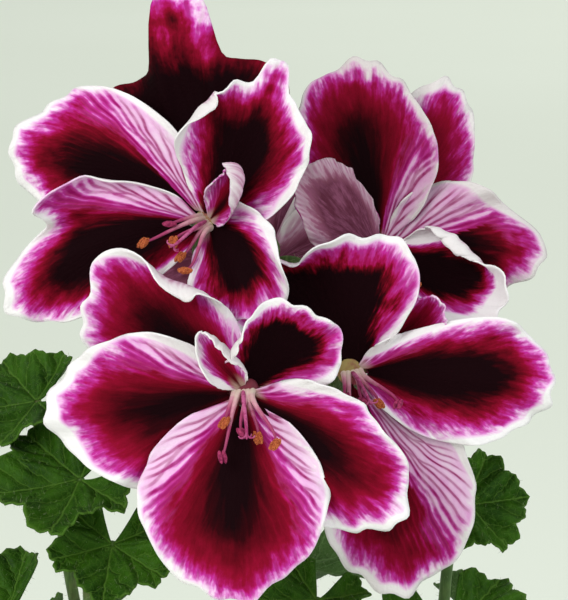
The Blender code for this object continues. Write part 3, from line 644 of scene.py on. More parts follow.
def rim_distance(petal, rib, u, rho):
    """Each point's distance from the petal's margin, in millimetres, with the petal pressed flat."""
    across = np.linspace(-1, 1, 241)
    rim_x, rim_y = flat_place(petal, rib, across, np.ones_like(across))
    x, y = flat_place(petal, rib, u, rho)
    return np.sqrt((x[:, None] - rim_x) ** 2 + (y[:, None] - rim_y) ** 2).min(1)


def blotch_depths(petal, paint, rib, u, rho):
    """How deep each point lies behind the white rim, and inside the pale flanks, in millimetres."""
    side_rim = paint.rim if paint.side_rim is None else paint.side_rim
    rim = side_rim + (paint.rim - side_rim) * np.exp(-(((u - 0.03) / TIP_SPREAD) ** 4))
    uneven = 0.26 * np.sin(6 * u + petal.wave[2]) + 0.16 * np.sin(15 * u + 2 * petal.wave[2])
    outer = smooth_rise(rho, paint.bare, paint.bare + RIM_GROWTH)
    inside = rim_distance(petal, rib, u, rho) - rim * (1 + uneven) * outer + CLAW_DEPTH * (1 - outer)
    core = CORE_DEPTH * np.exp(-((u / CORE_WIDTH) ** 2)) * np.clip(1.7 - 2.2 * rho, 0, 1)
    core = core * np.clip(rho * 5, 0, 1)
    left = paint.left_foot + (paint.left_tip - paint.left_foot) * rho**1.3
    right = paint.right_foot + (paint.right_tip - paint.right_foot) * rho**1.3
    beside = np.minimum(left + u, right - u) * petal.half_width * (0.5 + 0.5 * rho)
    return inside + core, np.clip(beside + core * (beside > 0), FLANK_FLOOR, 20)


print("painted petals:", sum(len(rows) for rows in PAINTS.values()))

# %% [markdown]
# Every piece is finished in the same way. Its points are worked out first, and a mesh is made of them that
# carries what the finish has to know at each point. Thin blades then get their thickness from Solidify. The
# result is turned into a plain mesh, so that nothing is left to evaluate when the model is exported.

# %% Helpers that make meshes


def grid_faces(columns, rows):
    """Quads of a grid of points, counted row by row."""
    wide = columns + 1
    corners = (np.arange(rows)[:, None] * wide + np.arange(columns)).ravel()
    return np.stack([corners, corners + 1, corners + wide + 1, corners + wide], -1)


def pole_faces(rings, sides):
    """Faces round a body whose points are a pole, some rings and another pole, in this order."""
    last = 1 + rings * sides
    pairs = [(k, (k + 1) % sides) for k in range(sides)]
    faces = [(0, 1 + k, 1 + after) for k, after in pairs]
    for first in range(1, last - sides, sides):
        beyond = first + sides
        faces += [(first + k, beyond + k, beyond + after, first + after) for k, after in pairs]
    return faces + [(last - sides + k, last, last - sides + after) for k, after in pairs]


def mesh_of(name, points, faces, *finishes, **vectors):
    """A smooth mesh of points and faces that carries named vectors at its points."""
    mesh = bpy.data.meshes.new(name)
    mesh.from_pydata(points.tolist(), [], faces)
    mesh.shade_smooth()
    for key, values in vectors.items():
        layer = mesh.attributes.new(key, "FLOAT_VECTOR", "POINT")
        layer.data.foreach_set("vector", np.asarray(values, np.float32).ravel())
    for finish in finishes:
        mesh.materials.append(finish)
    return mesh


def stacked(sheets):
    """Sheets of (points, quads, vectors by name) as one such sheet."""
    points, quads, vectors = zip(*sheets)
    counts = np.cumsum([0] + [len(rows) for rows in points])
    quads = np.vstack([rows + count for rows, count in zip(quads, counts)])
    vectors = {key: np.vstack([rows[key] for rows in vectors]) for key in vectors[0]}
    return np.vstack(points), quads, vectors


@contextmanager
def edited(mesh):
    """Opens a mesh for editing, and writes it back afterwards."""
    builder = bmesh.new()
    builder.from_mesh(mesh)
    yield builder
    builder.to_mesh(mesh)
    builder.free()


def frame_along(direction):
    """Three rows, at right angles, of which the last is the direction."""
    z = unit(direction)
    x = unit(np.cross((0.0, 0.0, 1.0) if abs(z[2]) < 0.9 else (1.0, 0.0, 0.0), z))
    return np.array((x, np.cross(z, x), z))


print("mesh helpers ready")

# %% Helpers that finish pieces


def finished(obj):
    """The object's mesh with its modifiers applied, as a new object of the same name."""
    bpy.context.view_layer.update()
    mesh = bpy.data.meshes.new_from_object(obj.evaluated_get(bpy.context.evaluated_depsgraph_get()))
    name = obj.name
    bpy.data.objects.remove(obj)
    mesh.name = name
    return put(name, mesh)


def blade_of(name, sheet, thickness, upper, under):
    """A sheet as a finished blade with its thickness in millimetres and a finish for each face."""
    points, quads, vectors = sheet
    thin = put(name, mesh_of(name, points, quads.tolist(), upper, under, **vectors))
    shell = thin.modifiers.new("blade", "SOLIDIFY")
    shell.thickness = thickness * MM
    shell.offset = 0.0
    shell.material_offset = 1
    return finished(thin)


def ball(name, centre, rows, radii, finish, sides=16, rings=10):
    """A ball with its three radii in millimetres along the rows of a frame."""
    turn = np.linspace(0, 2 * math.pi, sides, endpoint=False)
    rise = np.linspace(-0.5 * math.pi, 0.5 * math.pi, rings + 1)[1:-1]
    ring = [(math.cos(a) * math.cos(b), math.sin(a) * math.cos(b), math.sin(b)) for b in rise for a in turn]
    local = np.array([(0, 0, -1), *ring, (0, 0, 1)]) * (np.array(radii) * MM)
    faces = [(first, *rest[::-1]) for first, *rest in pole_faces(rings - 1, sides)]
    return put(name, mesh_of(name, np.array(centre) + local @ rows, faces, finish))


def joined(name, pieces):
    """Several finished objects as one."""
    with bpy.context.temp_override(active_object=pieces[0], selected_editable_objects=pieces):
        bpy.ops.object.join()
    pieces[0].name = name
    pieces[0].data.name = name
    return pieces[0]


def place_in_model(piece, solid):
    """Lets a finished piece stand for its solid: hangs it under the root and hides the solid."""
    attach(piece, "root")
    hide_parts(solid)
    piece.data.calc_loop_triangles()
    print(piece.name, len(piece.data.loop_triangles), "triangles")


print("piece helpers ready")

# %% [markdown]
# The upper face of a petal is velvet: it has hardly any gloss, and a dark petal that shone would look grey.
# The depth gets its streaks, and a ramp turns it into white, lilac, magenta, crimson and near black. Pale
# flanks show the veins as thin dark lines. Deep in the throat the petal is greenish cream. The under face
# is duller: the blotch shines through as a streaky mauve, and the veins are fainter.

# %% Tones of the petals
RAMP_START, RAMP_END = -3.0, 10.0
UPPER_TONES = (
    (-1.5, 0.80, 0.775, 0.80),
    (-0.6, 0.78, 0.52, 0.75),
    (0.1, 0.66, 0.22, 0.58),
    (0.9, 0.46, 0.022, 0.28),
    (1.9, 0.34, 0.006, 0.09),
    (3.0, 0.22, 0.003, 0.021),
    (4.8, 0.12, 0.002, 0.009),
    (7.5, 0.026, 0.0012, 0.0030),
    (10.0, 0.007, 0.0012, 0.0022),
)
UNDER_TONES = (
    (-0.8, 0.72, 0.68, 0.70),
    (1.2, 0.60, 0.44, 0.54),
    (3.0, 0.42, 0.19, 0.30),
    (6.0, 0.24, 0.075, 0.13),
    (9.5, 0.13, 0.03, 0.06),
)
VEIN_TONE = (0.27, 0.002, 0.10)
STREAK_TONE = (0.36, 0.12, 0.23)
HALO_TONE = (0.56, 0.10, 0.42)
THROAT_TONE = (0.50, 0.44, 0.34)
# Painted shade: the tone that a shaded petal's colour is multiplied by.
SHADED = (0.56, 0.50, 0.48)
# Partly painted shade: the cushions' crimson patches and the dark floor of bloom b stand both for the
# petals' own crimson and for the shade between the filaments.
THROAT_RED_AND_SHADE = (0.20, 0.025, 0.045)
THROAT_FLOORS = {
    "a": (0.36, 0.33, 0.13),
    "b": (0.13, 0.02, 0.035),
    "c": (0.30, 0.23, 0.08),
    "d": (0.30, 0.23, 0.08),
    "e": (0.30, 0.23, 0.12),
}
print("tones:", len(UPPER_TONES), "upper,", len(UNDER_TONES), "under")

# %% Petal finishes
COARSE_STREAKS, FINE_STREAKS = 0.13, 0.42
RIM_SLOPE, RIM_LEVEL = 0.95, 0.7
RIM_SLOPE_MOST, RIM_LEVEL_MOST = 2.4, 2.6
FLANK_SLOPE, FLANK_TEAR = 1.25, 1.4
FAR_FLANK_SLOPE, FAR_FLANK_LEVEL, FAR_FLANK_TEAR = 0.11, -0.25, 0.4
CRIMSON_LEVEL = 2.4
ZONE_SOFTNESS = 0.8
VEIN_SPACING = 9.0
VEIN_WIDTH, VEIN_WIDENING = 0.26, 0.2
HALO_LIFT, HALO_STRENGTH = 1.8, 0.35
THROAT_STRENGTH = 0.7
CRINKLE_DEPTH = 0.00012


def petal_finish(name, tones, vein_strength, tear, streaks):
    """One face of a petal: its torn zones of colour, its veins, its throat and its fine crinkle."""
    finish, tree = new_finish(name, 0.65, 0.02)
    ray, reach, seed = parts_of(attribute(tree, "spread"))
    inside, flank, dark = parts_of(attribute(tree, "blotch"))
    dull = parts_of(attribute(tree, "wash"))[0]
    place = {"Ray": ray, "Out": reach, "Seed": seed}
    coarse = use_effect(STREAKS, **place, Fineness=COARSE_STREAKS)[0]
    streak = use_effect(STREAKS, **place, Fineness=FINE_STREAKS)[0] * 0.7 + coarse
    width = smooth_step(flank, -5.0, 0.0) * VEIN_WIDENING + VEIN_WIDTH
    vein, halo = use_effect(VEINS, **place, Spacing=VEIN_SPACING, Width=width)

    # The level is the place on the ramp: low is the white rim, high the dark middle.
    level = streak * tear + (inside * RIM_SLOPE + RIM_LEVEL)
    level = maths("MINIMUM", level, inside * RIM_SLOPE_MOST + RIM_LEVEL_MOST)
    beside = streak * FLANK_TEAR + flank * FLANK_SLOPE
    plain = maths("SMOOTH_MIN", level, beside, ZONE_SOFTNESS)
    far = streak * FAR_FLANK_TEAR + (flank * FAR_FLANK_SLOPE + FAR_FLANK_LEVEL)
    beside = maths("MAXIMUM", halo * HALO_LIFT + beside, far)
    level = maths("SMOOTH_MIN", level, beside, ZONE_SOFTNESS)
    beyond = maths("MAXIMUM", level - CRIMSON_LEVEL, 0.0)
    level = beyond * dark + maths("MINIMUM", level, CRIMSON_LEVEL)
    colour = ramp(level, RAMP_START, RAMP_END, tones)
    mauve = smooth_step(streak, -0.5, 0.9) * smooth_step(level, 2.0, 5.0)
    colour = blend(mauve * streaks, colour, STREAK_TONE)

    # Veins and their halos show where the plain level, without them, is pale.
    pale = (1.0 - smooth_step(plain, 0.4, 2.4)) * smooth_step(inside, -1.6, 0.8)
    colour = blend(halo * pale * HALO_STRENGTH, colour, HALO_TONE)
    broken = smooth_step(coarse, -0.5, 0.4) * 0.4 + 0.6
    colour = blend(vein * (pale * broken) * vein_strength, colour, VEIN_TONE)
    throat = (1.0 - smooth_step(reach, 2.2, 5.5)) * (1.0 - smooth_step(level, 2.0, 6.0))
    colour = blend(throat * THROAT_STRENGTH, colour, THROAT_TONE)
    # Painted shade: petals in shade, most of them at the back of the head, are multiplied towards a
    # grey-brown.
    colour = blend(dull, colour, SHADED, "MULTIPLY")
    crinkle = noise(vector_of(ray * 0.5, reach, seed), 1.6, 3.0)
    return dress(finish, colour, vein * -0.25 + crinkle, CRINKLE_DEPTH)


def mottled_finish(name, dark, light, grain, surface, edges=(0.35, 0.65), depth=0.0001):
    """Two tones in soft patches. The grain is the noise's scale, detail and roughness."""
    finish, tree = new_finish(name, *surface)
    mottle = noise(object_place(tree), *grain)
    return dress(finish, blend(smooth_step(mottle, *edges), dark, light), mottle if depth else None, depth)


# Each cushion is mottled from its floor to crimson: partly the petals' own colour, partly painted shade
# between the filaments.
THROAT_SKINS = {
    name: mottled_finish(f"throat_{name}", floor, THROAT_RED_AND_SHADE, (420.0, 4.0), (0.55, 0.15), (0.42, 0.66), 0.0)
    for name, floor in THROAT_FLOORS.items()
}
PETAL_UPPER = petal_finish("petal_upper_face", UPPER_TONES, 0.95, 2.1, 0.0)
PETAL_UNDER = petal_finish("petal_under_face", UNDER_TONES, 0.75, 1.6, 0.75)
print("petal finishes:", PETAL_UPPER.name, PETAL_UNDER.name)

# %% [markdown]
# The petals are grids of points worked out by the rules above. All petals of a bloom make one piece, as in
# the solids, and a small cushion closes the throat. Solidify then gives the blades their real thinness. It
# puts the second finish on the under face, so one sheet of points carries both.

# %% Petals
PETAL_THICKNESS = 0.28
BROAD_MESH = (90, 42)
NARROW_MESH = (48, 28)
NARROW_WIDTH = 6.0
THROAT_RADIUS = 2.6
THROAT_DEPTH = 1.1
PETAL_SEED, BLOOM_SEED = 3.0, 29.0


def petal_sheet(bloom, petal, paint, seed):
    """A petal's points, quads and the vectors that its finish reads."""
    columns, rows = NARROW_MESH if petal.half_width < NARROW_WIDTH else BROAD_MESH
    u, v = np.meshgrid(np.linspace(-1, 1, columns + 1), np.linspace(0, 1, rows + 1))
    u, rho = u.ravel(), CLAW_START + (1 - CLAW_START) * v.ravel()
    rib = midrib(petal, bloom)
    furthest, _, length = outline(petal, rib)
    angle, ray = fan(petal, u)
    inside, flank = blotch_depths(petal, paint, rib, u, rho)
    read = {
        "spread": (np.degrees(angle), rho * ray * length / furthest, seed),
        "blotch": (inside, flank, paint.dark),
        # The share of painted shade, which darkens the whole petal.
        "wash": (paint.dull, 0, 0),
    }
    vectors = {key: np.stack(np.broadcast_arrays(u, *parts)[1:], -1) for key, parts in read.items()}
    return petal_points(petal, rib, u, rho), grid_faces(columns, rows), vectors


def make_petals(name, bloom):
    """A bloom's petals and the cushion of its throat as one piece."""
    sheets = []
    for order, (place, petal) in enumerate(bloom.petals.items()):
        seed = PETAL_SEED * order + BLOOM_SEED * "abcde".index(name)
        sheets.append(petal_sheet(bloom, petal, PAINTS[name][place], seed))
    petals = blade_of("sheet", stacked(sheets), PETAL_THICKNESS, PETAL_UPPER, PETAL_UNDER)
    rows = frame_along(face_direction(unit(bloom.facing)))
    radii = (THROAT_RADIUS, THROAT_RADIUS, THROAT_DEPTH)
    cushion = ball("throat", face_to_world(bloom.throat), rows, radii, THROAT_SKINS[name], 24, 12)
    place_in_model(joined(f"petals_{name}", [petals, cushion]), f"bloom_{name}_petals")


for name, bloom in BLOOMS.items():
    make_petals(name, bloom)

# %% [markdown]
# Stalks, shoots and filaments are all round rods that taper along a path. One Geometry Nodes tree makes
# them: it reads a chain of points with a radius at each, sweeps a circle along it, closes its ends, and
# keeps the way along as a value for the finish. The thickness at each point is a named value of the chain,
# so one tree serves the woody stem and a filament as thin as a thread.

# %% A tree that makes tapered rods


def step(tree, kind, given, result=0):
    """One of the results of a new Geometry Nodes step."""
    return Value(node(tree, kind, given).outputs[result])


def real_and_dressed(shapes, finish):
    """The last two steps of a tree, which make its shapes real and give them their finish."""
    real = step(shapes.tree, "GeometryNodeRealizeInstances", {"Geometry": shapes})
    return step(shapes.tree, "GeometryNodeSetMaterial", {"Geometry": real, "Material": finish})


def make_rods_tree():
    """A tree that sweeps a circle along chains of points."""
    inputs = {"Paths": "Geometry", "Sides": "Int", "Finish": "Material"}
    tree, given, out = new_group("tapered_rods", "GeometryNodeTree", inputs, {"Rods": "Geometry"})
    chain = step(tree, "GeometryNodeMeshToCurve", {"Mesh": given["Paths"]})
    way = step(tree, "GeometryNodeSplineParameter", {}, "Factor")
    named = {"Geometry": chain, "Name": "along", "Value": way}
    marked = step(tree, "GeometryNodeStoreNamedAttribute", named)
    radius = step(tree, "GeometryNodeInputNamedAttribute", {"Name": "radius"})
    ring = {"Resolution": given["Sides"], "Radius": 1.0}
    circle = step(tree, "GeometryNodeCurvePrimitiveCircle", ring)
    parts = {"Curve": marked, "Profile Curve": circle, "Scale": radius, "Fill Caps": True}
    swept = step(tree, "GeometryNodeCurveToMesh", parts)
    feed(out["Rods"], real_and_dressed(swept, given["Finish"]))
    return tree


RODS = make_rods_tree()
print("rods tree:", len(RODS.nodes), "nodes")

# %% Helpers that run a tree


def run_tree(obj, tree, **values):
    """Puts a tree on an object with its named inputs set, and returns the finished plain object."""
    grown = obj.modifiers.new("grown", "NODES")
    grown.node_group = tree
    for item in tree.interface.items_tree:
        if item.name in values:
            grown[item.identifier] = values[item.name]
    return finished(obj)


def rods(name, paths, radii, finish, sides):
    """Tapered rods along paths, with a radius at each point, both in metres, as one finished object."""
    points, edges = [], []
    for path in paths:
        edges += [(len(points) + k, len(points) + k + 1) for k in range(len(path) - 1)]
        points += path.tolist()
    mesh = bpy.data.meshes.new(name)
    mesh.from_pydata(points, edges, [])
    thickness = mesh.attributes.new("radius", "FLOAT", "POINT")
    thickness.data.foreach_set("value", np.concatenate(radii).astype(np.float32))
    made = run_tree(put(name, mesh), RODS, Sides=sides, Finish=finish)
    made.data.shade_smooth()
    made.data.set_sharp_from_angle(angle=math.radians(60))
    return made


print("rod helpers ready")

# %% [markdown]
# A bloom's filaments grow from one point in the throat and bend down over the lower petals. Each is pale
# at its foot and pink towards its tip, where it holds a sausage of an anther, split along its length and
# dusted with orange pollen. Some anthers are still shut and dark red. Grains of pollen are scattered on the
# open ones by a second tree, which serves the hairs and the soil as well: it strews small shapes.

# %% A tree that strews small shapes


def make_strewn_tree():
    """A tree that sets turned copies of a shape upright on a surface."""
    inputs = {"Surface": "Geometry", "Shape": "Object", "Per Square Metre": "Float"}
    inputs |= {"Smallest": "Float", "Largest": "Float", "Seed": "Int", "Finish": "Material"}
    tree, given, out = new_group("strewn_shapes", "GeometryNodeTree", inputs, {"Shapes": "Geometry"})
    strewing = {"Mesh": given["Surface"], "Density": given["Per Square Metre"], "Seed": given["Seed"]}
    spots = node(tree, "GeometryNodeDistributePointsOnFaces", strewing).outputs
    sizes = {2: given["Smallest"], 3: given["Largest"], "Seed": given["Seed"]}
    parts = {
        "Points": spots["Points"],
        "Instance": step(tree, "GeometryNodeObjectInfo", {"Object": given["Shape"]}, "Geometry"),
        "Rotation": spots["Rotation"],
        "Scale": node(tree, "FunctionNodeRandomValue", sizes, data_type="FLOAT").outputs[1],
    }
    copies = step(tree, "GeometryNodeInstanceOnPoints", parts)
    feed(out["Shapes"], real_and_dressed(copies, given["Finish"]))
    return tree


def pattern_shape(name, make, **sizes):
    """A small shape that is only copied from, and is removed at the end."""
    shape = put(name, bpy.data.meshes.new(name))
    with edited(shape.data) as builder:
        make(builder, **sizes)
    return shape


def strewn_over(name, surface, shape, per_square_metre, sizes, seed, finish):
    """Copies of a shape, in sizes of some millimetres, over a surface object, as a finished object."""
    values = {"Shape": shape, "Per Square Metre": per_square_metre, "Seed": seed, "Finish": finish}
    values |= {"Smallest": sizes[0] * MM, "Largest": sizes[1] * MM}
    return run_tree(put(name, surface.data), STREWN, **values)


STREWN = make_strewn_tree()
GRAIN = pattern_shape("grain_pattern", bmesh.ops.create_icosphere, subdivisions=1, radius=1.0)
HAIR_PARTS = {"cap_ends": True, "segments": 3, "radius1": 0.045, "radius2": 0.012, "depth": 1.0}
HAIR = pattern_shape("hair_pattern", bmesh.ops.create_cone, **HAIR_PARTS)
HAIR.data.transform(Matrix.Translation((0.0, 0.0, 0.45)))
print("strewn tree:", len(STREWN.nodes), "nodes")

# %% [markdown]
# Their finishes: filaments run from cream to pink along the rod, anthers are rough and orange to brown, and
# pollen is brighter than the anther it sits on.

# %% Finishes of the stamens
FILAMENT_TONES = (
    (0.22, 0.66, 0.56, 0.47),
    (0.5, 0.58, 0.26, 0.34),
    (0.8, 0.36, 0.045, 0.14),
    (1.2, 0.22, 0.012, 0.07),
)
# Each dusty skin has a dark and a light tone, and a number that says how fine its mottle is.
DUSTY_SKINS = (
    ("anther_open", (0.20, 0.03, 0.015), (0.42, 0.10, 0.035), 1800.0),
    ("anther_shut", (0.16, 0.01, 0.05), (0.36, 0.04, 0.12), 1400.0),
    ("style", (0.30, 0.03, 0.12), (0.50, 0.12, 0.27), 900.0),
    ("pollen", (0.40, 0.085, 0.028), (0.60, 0.19, 0.06), 2600.0),
)


def filament_finish():
    """Cream at the foot, pink to magenta towards the tip."""
    finish, tree = new_finish("filament", 0.45, 0.35)
    mottle = noise(object_place(tree), 900.0, 2.0)
    colour = ramp(mottle * 0.35 + attribute(tree, "along", "Fac"), 0.0, 1.2, FILAMENT_TONES)
    return dress(finish, colour, mottle, 0.00008)


def dusty_finish(name, dark, light, scale):
    """A dusty, mottled skin."""
    return mottled_finish(name, dark, light, (scale, 3.0, 0.6), (0.8, 0.15))


FILAMENT = filament_finish()
ANTHER_OPEN, ANTHER_SHUT, STYLE_SKIN, POLLEN = (dusty_finish(*skin) for skin in DUSTY_SKINS)
print("stamen finishes ready")

# %% Styles and anthers
STYLE_LENGTH = 8.5
STYLE_RADII = (0.42, 0.26)
STIGMA_BRANCHES = 5
STIGMA_LENGTH = 1.9
STIGMA_RADII = (0.2, 0.11)
ANTHER_LOBE = (0.42, 0.52, 1.25)
ANTHER_SPLIT = 0.36


def anther(name, tip, direction, finish):
    """Two lobes side by side, with the split between them, lying across the filament's tip."""
    rows = frame_along(direction)
    return [
        ball(f"{name}_{side}", tip + side * ANTHER_SPLIT * MM * rows[0], rows, ANTHER_LOBE, finish, 14, 10)
        for side in (-1, 1)
    ]


def style(bloom, foot, facing, aim, across):
    """The pistil's style between the filaments, with five curled branches at its tip."""
    fork = foot + STYLE_LENGTH * unit(aim + 0.2 * facing - 0.1 * across)
    handles = (np.array(bloom.throat), foot + 0.35 * STYLE_LENGTH * facing, fork - 2 * aim, fork)
    paths = [face_to_world(bezier(handles, np.linspace(0, 1, 16)))]
    radii = [np.linspace(*STYLE_RADII, 16) * MM]
    for k in range(STIGMA_BRANCHES):
        turn = 2 * math.pi * k / STIGMA_BRANCHES + 0.4
        outward = math.cos(turn) * across + math.sin(turn) * facing
        curl = fork + STIGMA_LENGTH * (0.6 * outward + 0.55 * aim)
        end = fork + STIGMA_LENGTH * (0.75 * outward + 0.1 * aim)
        branch = (fork - 0.3 * aim, fork + 0.6 * aim, curl, end)
        paths.append(face_to_world(bezier(branch, np.linspace(0, 1, 10))))
        radii.append(np.linspace(*STIGMA_RADII, 10) * MM)
    return rods("style", paths, radii, STYLE_SKIN, 8)


print("style length:", STYLE_LENGTH, "mm")

# %% Stamens
STAMENS = 5
FILAMENT_LENGTH = 11.5
FILAMENT_RADII = (0.62, 0.36, 0.19)
FILAMENT_SPREAD = 1.15
FILAMENT_START = 0.6
FILAMENT_BEND = 2.3
FOOT_SPREAD = 3.0
POLLEN_PER_SQUARE_METRE = 2.2e7
POLLEN_SIZES = (0.06, 0.12)
OPEN_ANTHERS = {"a": (0, 1, 2, 3), "b": (0, 1, 4), "c": (1, 3), "d": (0, 2), "e": (1, 2, 4)}


def make_stamens(name, bloom):
    """A bloom's filaments, anthers, pollen and style as one piece."""
    facing = unit(bloom.facing)
    foot = np.array(bloom.throat) + FILAMENT_BEND * facing
    aim = unit(bloom.stamens_to)
    across = unit(np.cross(aim, facing))
    share = np.linspace(0, 1, 22)
    paths, heads, dusted = [], [], []
    for k in range(STAMENS):
        fanned = k / (STAMENS - 1) - 0.5
        root = np.array(bloom.throat) + FILAMENT_START * facing + FOOT_SPREAD * fanned * across
        length = FILAMENT_LENGTH * (0.8 + 0.25 * math.sin(2.4 * k + 1))
        tip = foot + length * unit(aim + fanned * FILAMENT_SPREAD * across + 0.12 * math.cos(3 * k) * facing)
        bend = 0.14 * length * math.sin(2.1 * k + 0.6) * across
        rising = root + 0.3 * length * (facing + 0.5 * aim) + bend
        handles = (root, rising, tip - 0.25 * length * aim - bend, tip)
        paths.append(face_to_world(bezier(handles, share)))
        lean = face_direction(aim + 0.8 * math.sin(5 * k + 1) * across)
        finish = ANTHER_OPEN if k in OPEN_ANTHERS[name] else ANTHER_SHUT
        lobes = anther(f"anther_{k}", paths[-1][-1], lean, finish)
        heads += lobes
        dusted += lobes if finish is ANTHER_OPEN else []
    radii = [np.interp(share, (0, 0.4, 1), FILAMENT_RADII) * MM] * STAMENS
    dust = (GRAIN, POLLEN_PER_SQUARE_METRE, POLLEN_SIZES)
    grains = [strewn_over(f"pollen_{n}", lobe, *dust, n, POLLEN) for n, lobe in enumerate(dusted)]
    filaments = rods("filaments", paths, radii, FILAMENT, 10)
    pieces = [filaments, *heads, *grains, style(bloom, foot, facing, aim, across)]
    place_in_model(joined(f"stamens_{name}", pieces), f"bloom_{name}_stamens")


for name, bloom in BLOOMS.items():
    make_stamens(name, bloom)

# %% [markdown]
# The green parts between the blooms and the stem are soft and downy: a stalk that ends in a knob, a thinner
# stalk to each bloom, and five narrow sepals behind each bloom. A few small scales sit round the knob, where
# the stalks leave it. Sepals and scales are the same shape at different sizes, so one rule makes them all.

# %% Finishes of the green stalks


def skin_finish(name, dark, light, blush, roughness=0.5):
    """The skin of a green shoot: streaks along it, and a red blush in patches."""
    finish, tree = new_finish(name, roughness, 0.3)
    streak = noise(object_place(tree, (1.0, 1.0, 0.16)), 1500.0, 3.0)
    patch = noise(object_place(tree), 90.0, 3.0, 0.6)
    colour = blend(smooth_step(streak, 0.3, 0.7), dark, light)
    colour = blend(smooth_step(patch, 0.5, 0.75) * 0.55, colour, blush)
    return dress(finish, colour, streak, 0.0001)


STALK_SKIN = skin_finish("green_stalk", (0.045, 0.10, 0.018), (0.10, 0.18, 0.042), (0.13, 0.04, 0.04))
SEPAL_SKIN = skin_finish("sepal", (0.055, 0.12, 0.025), (0.13, 0.20, 0.06), (0.16, 0.04, 0.055))
DOWN = skin_finish("down", (0.14, 0.21, 0.08), (0.28, 0.36, 0.18), (0.28, 0.24, 0.18), 0.6)
print("stalk finishes ready")

# %% Scales and down
SCALE_MESH = (8, 12)
SCALE_THICKNESS = 0.32
Scale = namedtuple("Scale", "foot direction facing length half_width cup")


def scale_sheet(scale, place):
    """One narrow pointed blade. The place function turns its millimetres into metres of the plant."""
    n, t = np.meshgrid(np.linspace(-1, 1, SCALE_MESH[0] + 1), np.linspace(0, 1, SCALE_MESH[1] + 1))
    n, t = n.ravel(), t.ravel()
    width = scale.half_width * np.sin(math.pi * (0.12 + 0.87 * t**0.8)) ** 0.8 * (1 - 0.35 * t**2.2)
    direction = unit(scale.direction)
    side = unit(np.cross(direction, scale.facing))
    rise = scale.cup * n**2 * width / scale.half_width - 0.12 * scale.length * t**2
    flat = direction * (scale.length * t)[:, None] + side * (width * n)[:, None]
    points = np.array(scale.foot) + flat + np.cross(side, direction) * rise[:, None]
    return place(points), grid_faces(*SCALE_MESH), {}


def scales(name, rows, place):
    """Many scales as one finished object."""
    sheet = stacked([scale_sheet(row, place) for row in rows])
    return blade_of(name, sheet, SCALE_THICKNESS, SEPAL_SKIN, SEPAL_SKIN)


def downy(name, pieces, per_square_metre, sizes, seed):
    """Pieces as one object, with fine hairs all over its skin."""
    piece = joined(name, pieces)
    hairs = strewn_over(f"{name}_hairs", piece, HAIR, per_square_metre, sizes, seed, DOWN)
    return joined(name, [piece, hairs])


print("points of a scale:", (SCALE_MESH[0] + 1) * (SCALE_MESH[1] + 1))

# %% The flower stalk
PEDUNCLE_RADIUS = 1.9
PEDICEL_RADIUS = 1.05
HUB_RADIUS = 3.2
SEPALS = 5
SEPAL_SIZE = (11.0, 1.8, 0.7)
SEPAL_SWEEP = math.radians(38)
SOLID_GAP = 0.3
HUB_SCALES = 7
HUB_SCALE_SIZE = (5.0, 1.5, 0.5)
TRUNK_TOP = (1, 7, 150)
STALK_HAIRS_PER_SQUARE_METRE = 1.1e6
STALK_HAIR_SIZES = (0.5, 1.1)
STALK_SEED = 5


def sepal(bloom, k):
    """One sepal behind a bloom, swept back from the petals."""
    facing = unit(bloom.facing)
    sideways = unit(np.cross(facing, (0.0, 1.0, 0.2)))
    angle = 2 * math.pi * (k + 0.25) / SEPALS
    outward = math.cos(angle) * sideways + math.sin(angle) * np.cross(sideways, facing)
    direction = math.cos(SEPAL_SWEEP) * outward - math.sin(SEPAL_SWEEP) * facing
    foot = np.array(bloom.throat) - (THROAT_DEPTH + 1.2) * facing + 0.6 * outward
    return Scale(foot, direction, facing, *SEPAL_SIZE)


def hub_scale(k):
    """One of the small scales round the knob."""
    angle = 2 * math.pi * k / HUB_SCALES
    outward = np.array((math.cos(angle), -0.3, math.sin(angle)))
    foot = np.array(HUB) + 0.7 * HUB_RADIUS * outward
    return Scale(foot, outward + (0, 0.9, 0), (0, 1, 0), *HUB_SCALE_SIZE)


def make_flower_stalk():
    """The main stalk, the knob, a stalk to each bloom, the sepals and the scales as one piece."""
    hub = face_to_world(HUB)
    foot = (np.array(TRUNK_TOP) + (0, 0, SOLID_GAP)) * MM
    handles = (foot, foot + (0.001, 0, 0.022), hub - (0.002, -0.002, 0.028), hub)
    share = np.linspace(0, 1, 40)
    paths = [bezier(handles, share)]
    radii = [PEDUNCLE_RADIUS * MM * (1 + 0.18 * np.exp(-((share / 0.05) ** 2)))]
    for bloom in BLOOMS.values():
        facing = unit(bloom.facing)
        seat = np.array(bloom.throat) - (THROAT_DEPTH - 0.4) * facing
        handles = (HUB, np.array(HUB) + 0.35 * (seat - HUB), seat - 9 * facing, seat)
        paths.append(face_to_world(bezier(handles, share)))
        radii.append(PEDICEL_RADIUS * MM * (1 + 0.95 * smooth_rise(share, 0.62, 0.95)))
    knob = ball("knob", hub, np.eye(3), HUB_RADIUS * np.array((1, 1, 0.9)), STALK_SKIN, 20, 12)
    rows = [sepal(bloom, k) for bloom in BLOOMS.values() for k in range(SEPALS)]
    rows += [hub_scale(k) for k in range(HUB_SCALES)]
    pieces = [rods("stalks", paths, radii, STALK_SKIN, 16), knob, scales("sepals", rows, face_to_world)]
    hairs = (STALK_HAIRS_PER_SQUARE_METRE, STALK_HAIR_SIZES, STALK_SEED)
    place_in_model(downy("flower_stalk", pieces, *hairs), "flower_stalk")


make_flower_stalk()

# %% [markdown]
# A leaf is round with shallow lobes and pointed teeth. Five main veins fan out from the stalk, one into each
# lobe, and side veins leave them aslant. The blade is puckered: it bulges up between its veins. All of this
# follows rules, so the blade is worked out point by point, and the same rules tell the finish how far each
# point lies from a vein.

# %% Effect: the veins of a leaf
LEAF_TEETH = 13
SMALL_TEETH = 39
LEAF_LOBES = 5
LEAF_SPREAD = math.radians(152)
SIDE_VEIN_SPACING = 4.2
SIDE_VEIN_SLANT = 1.25


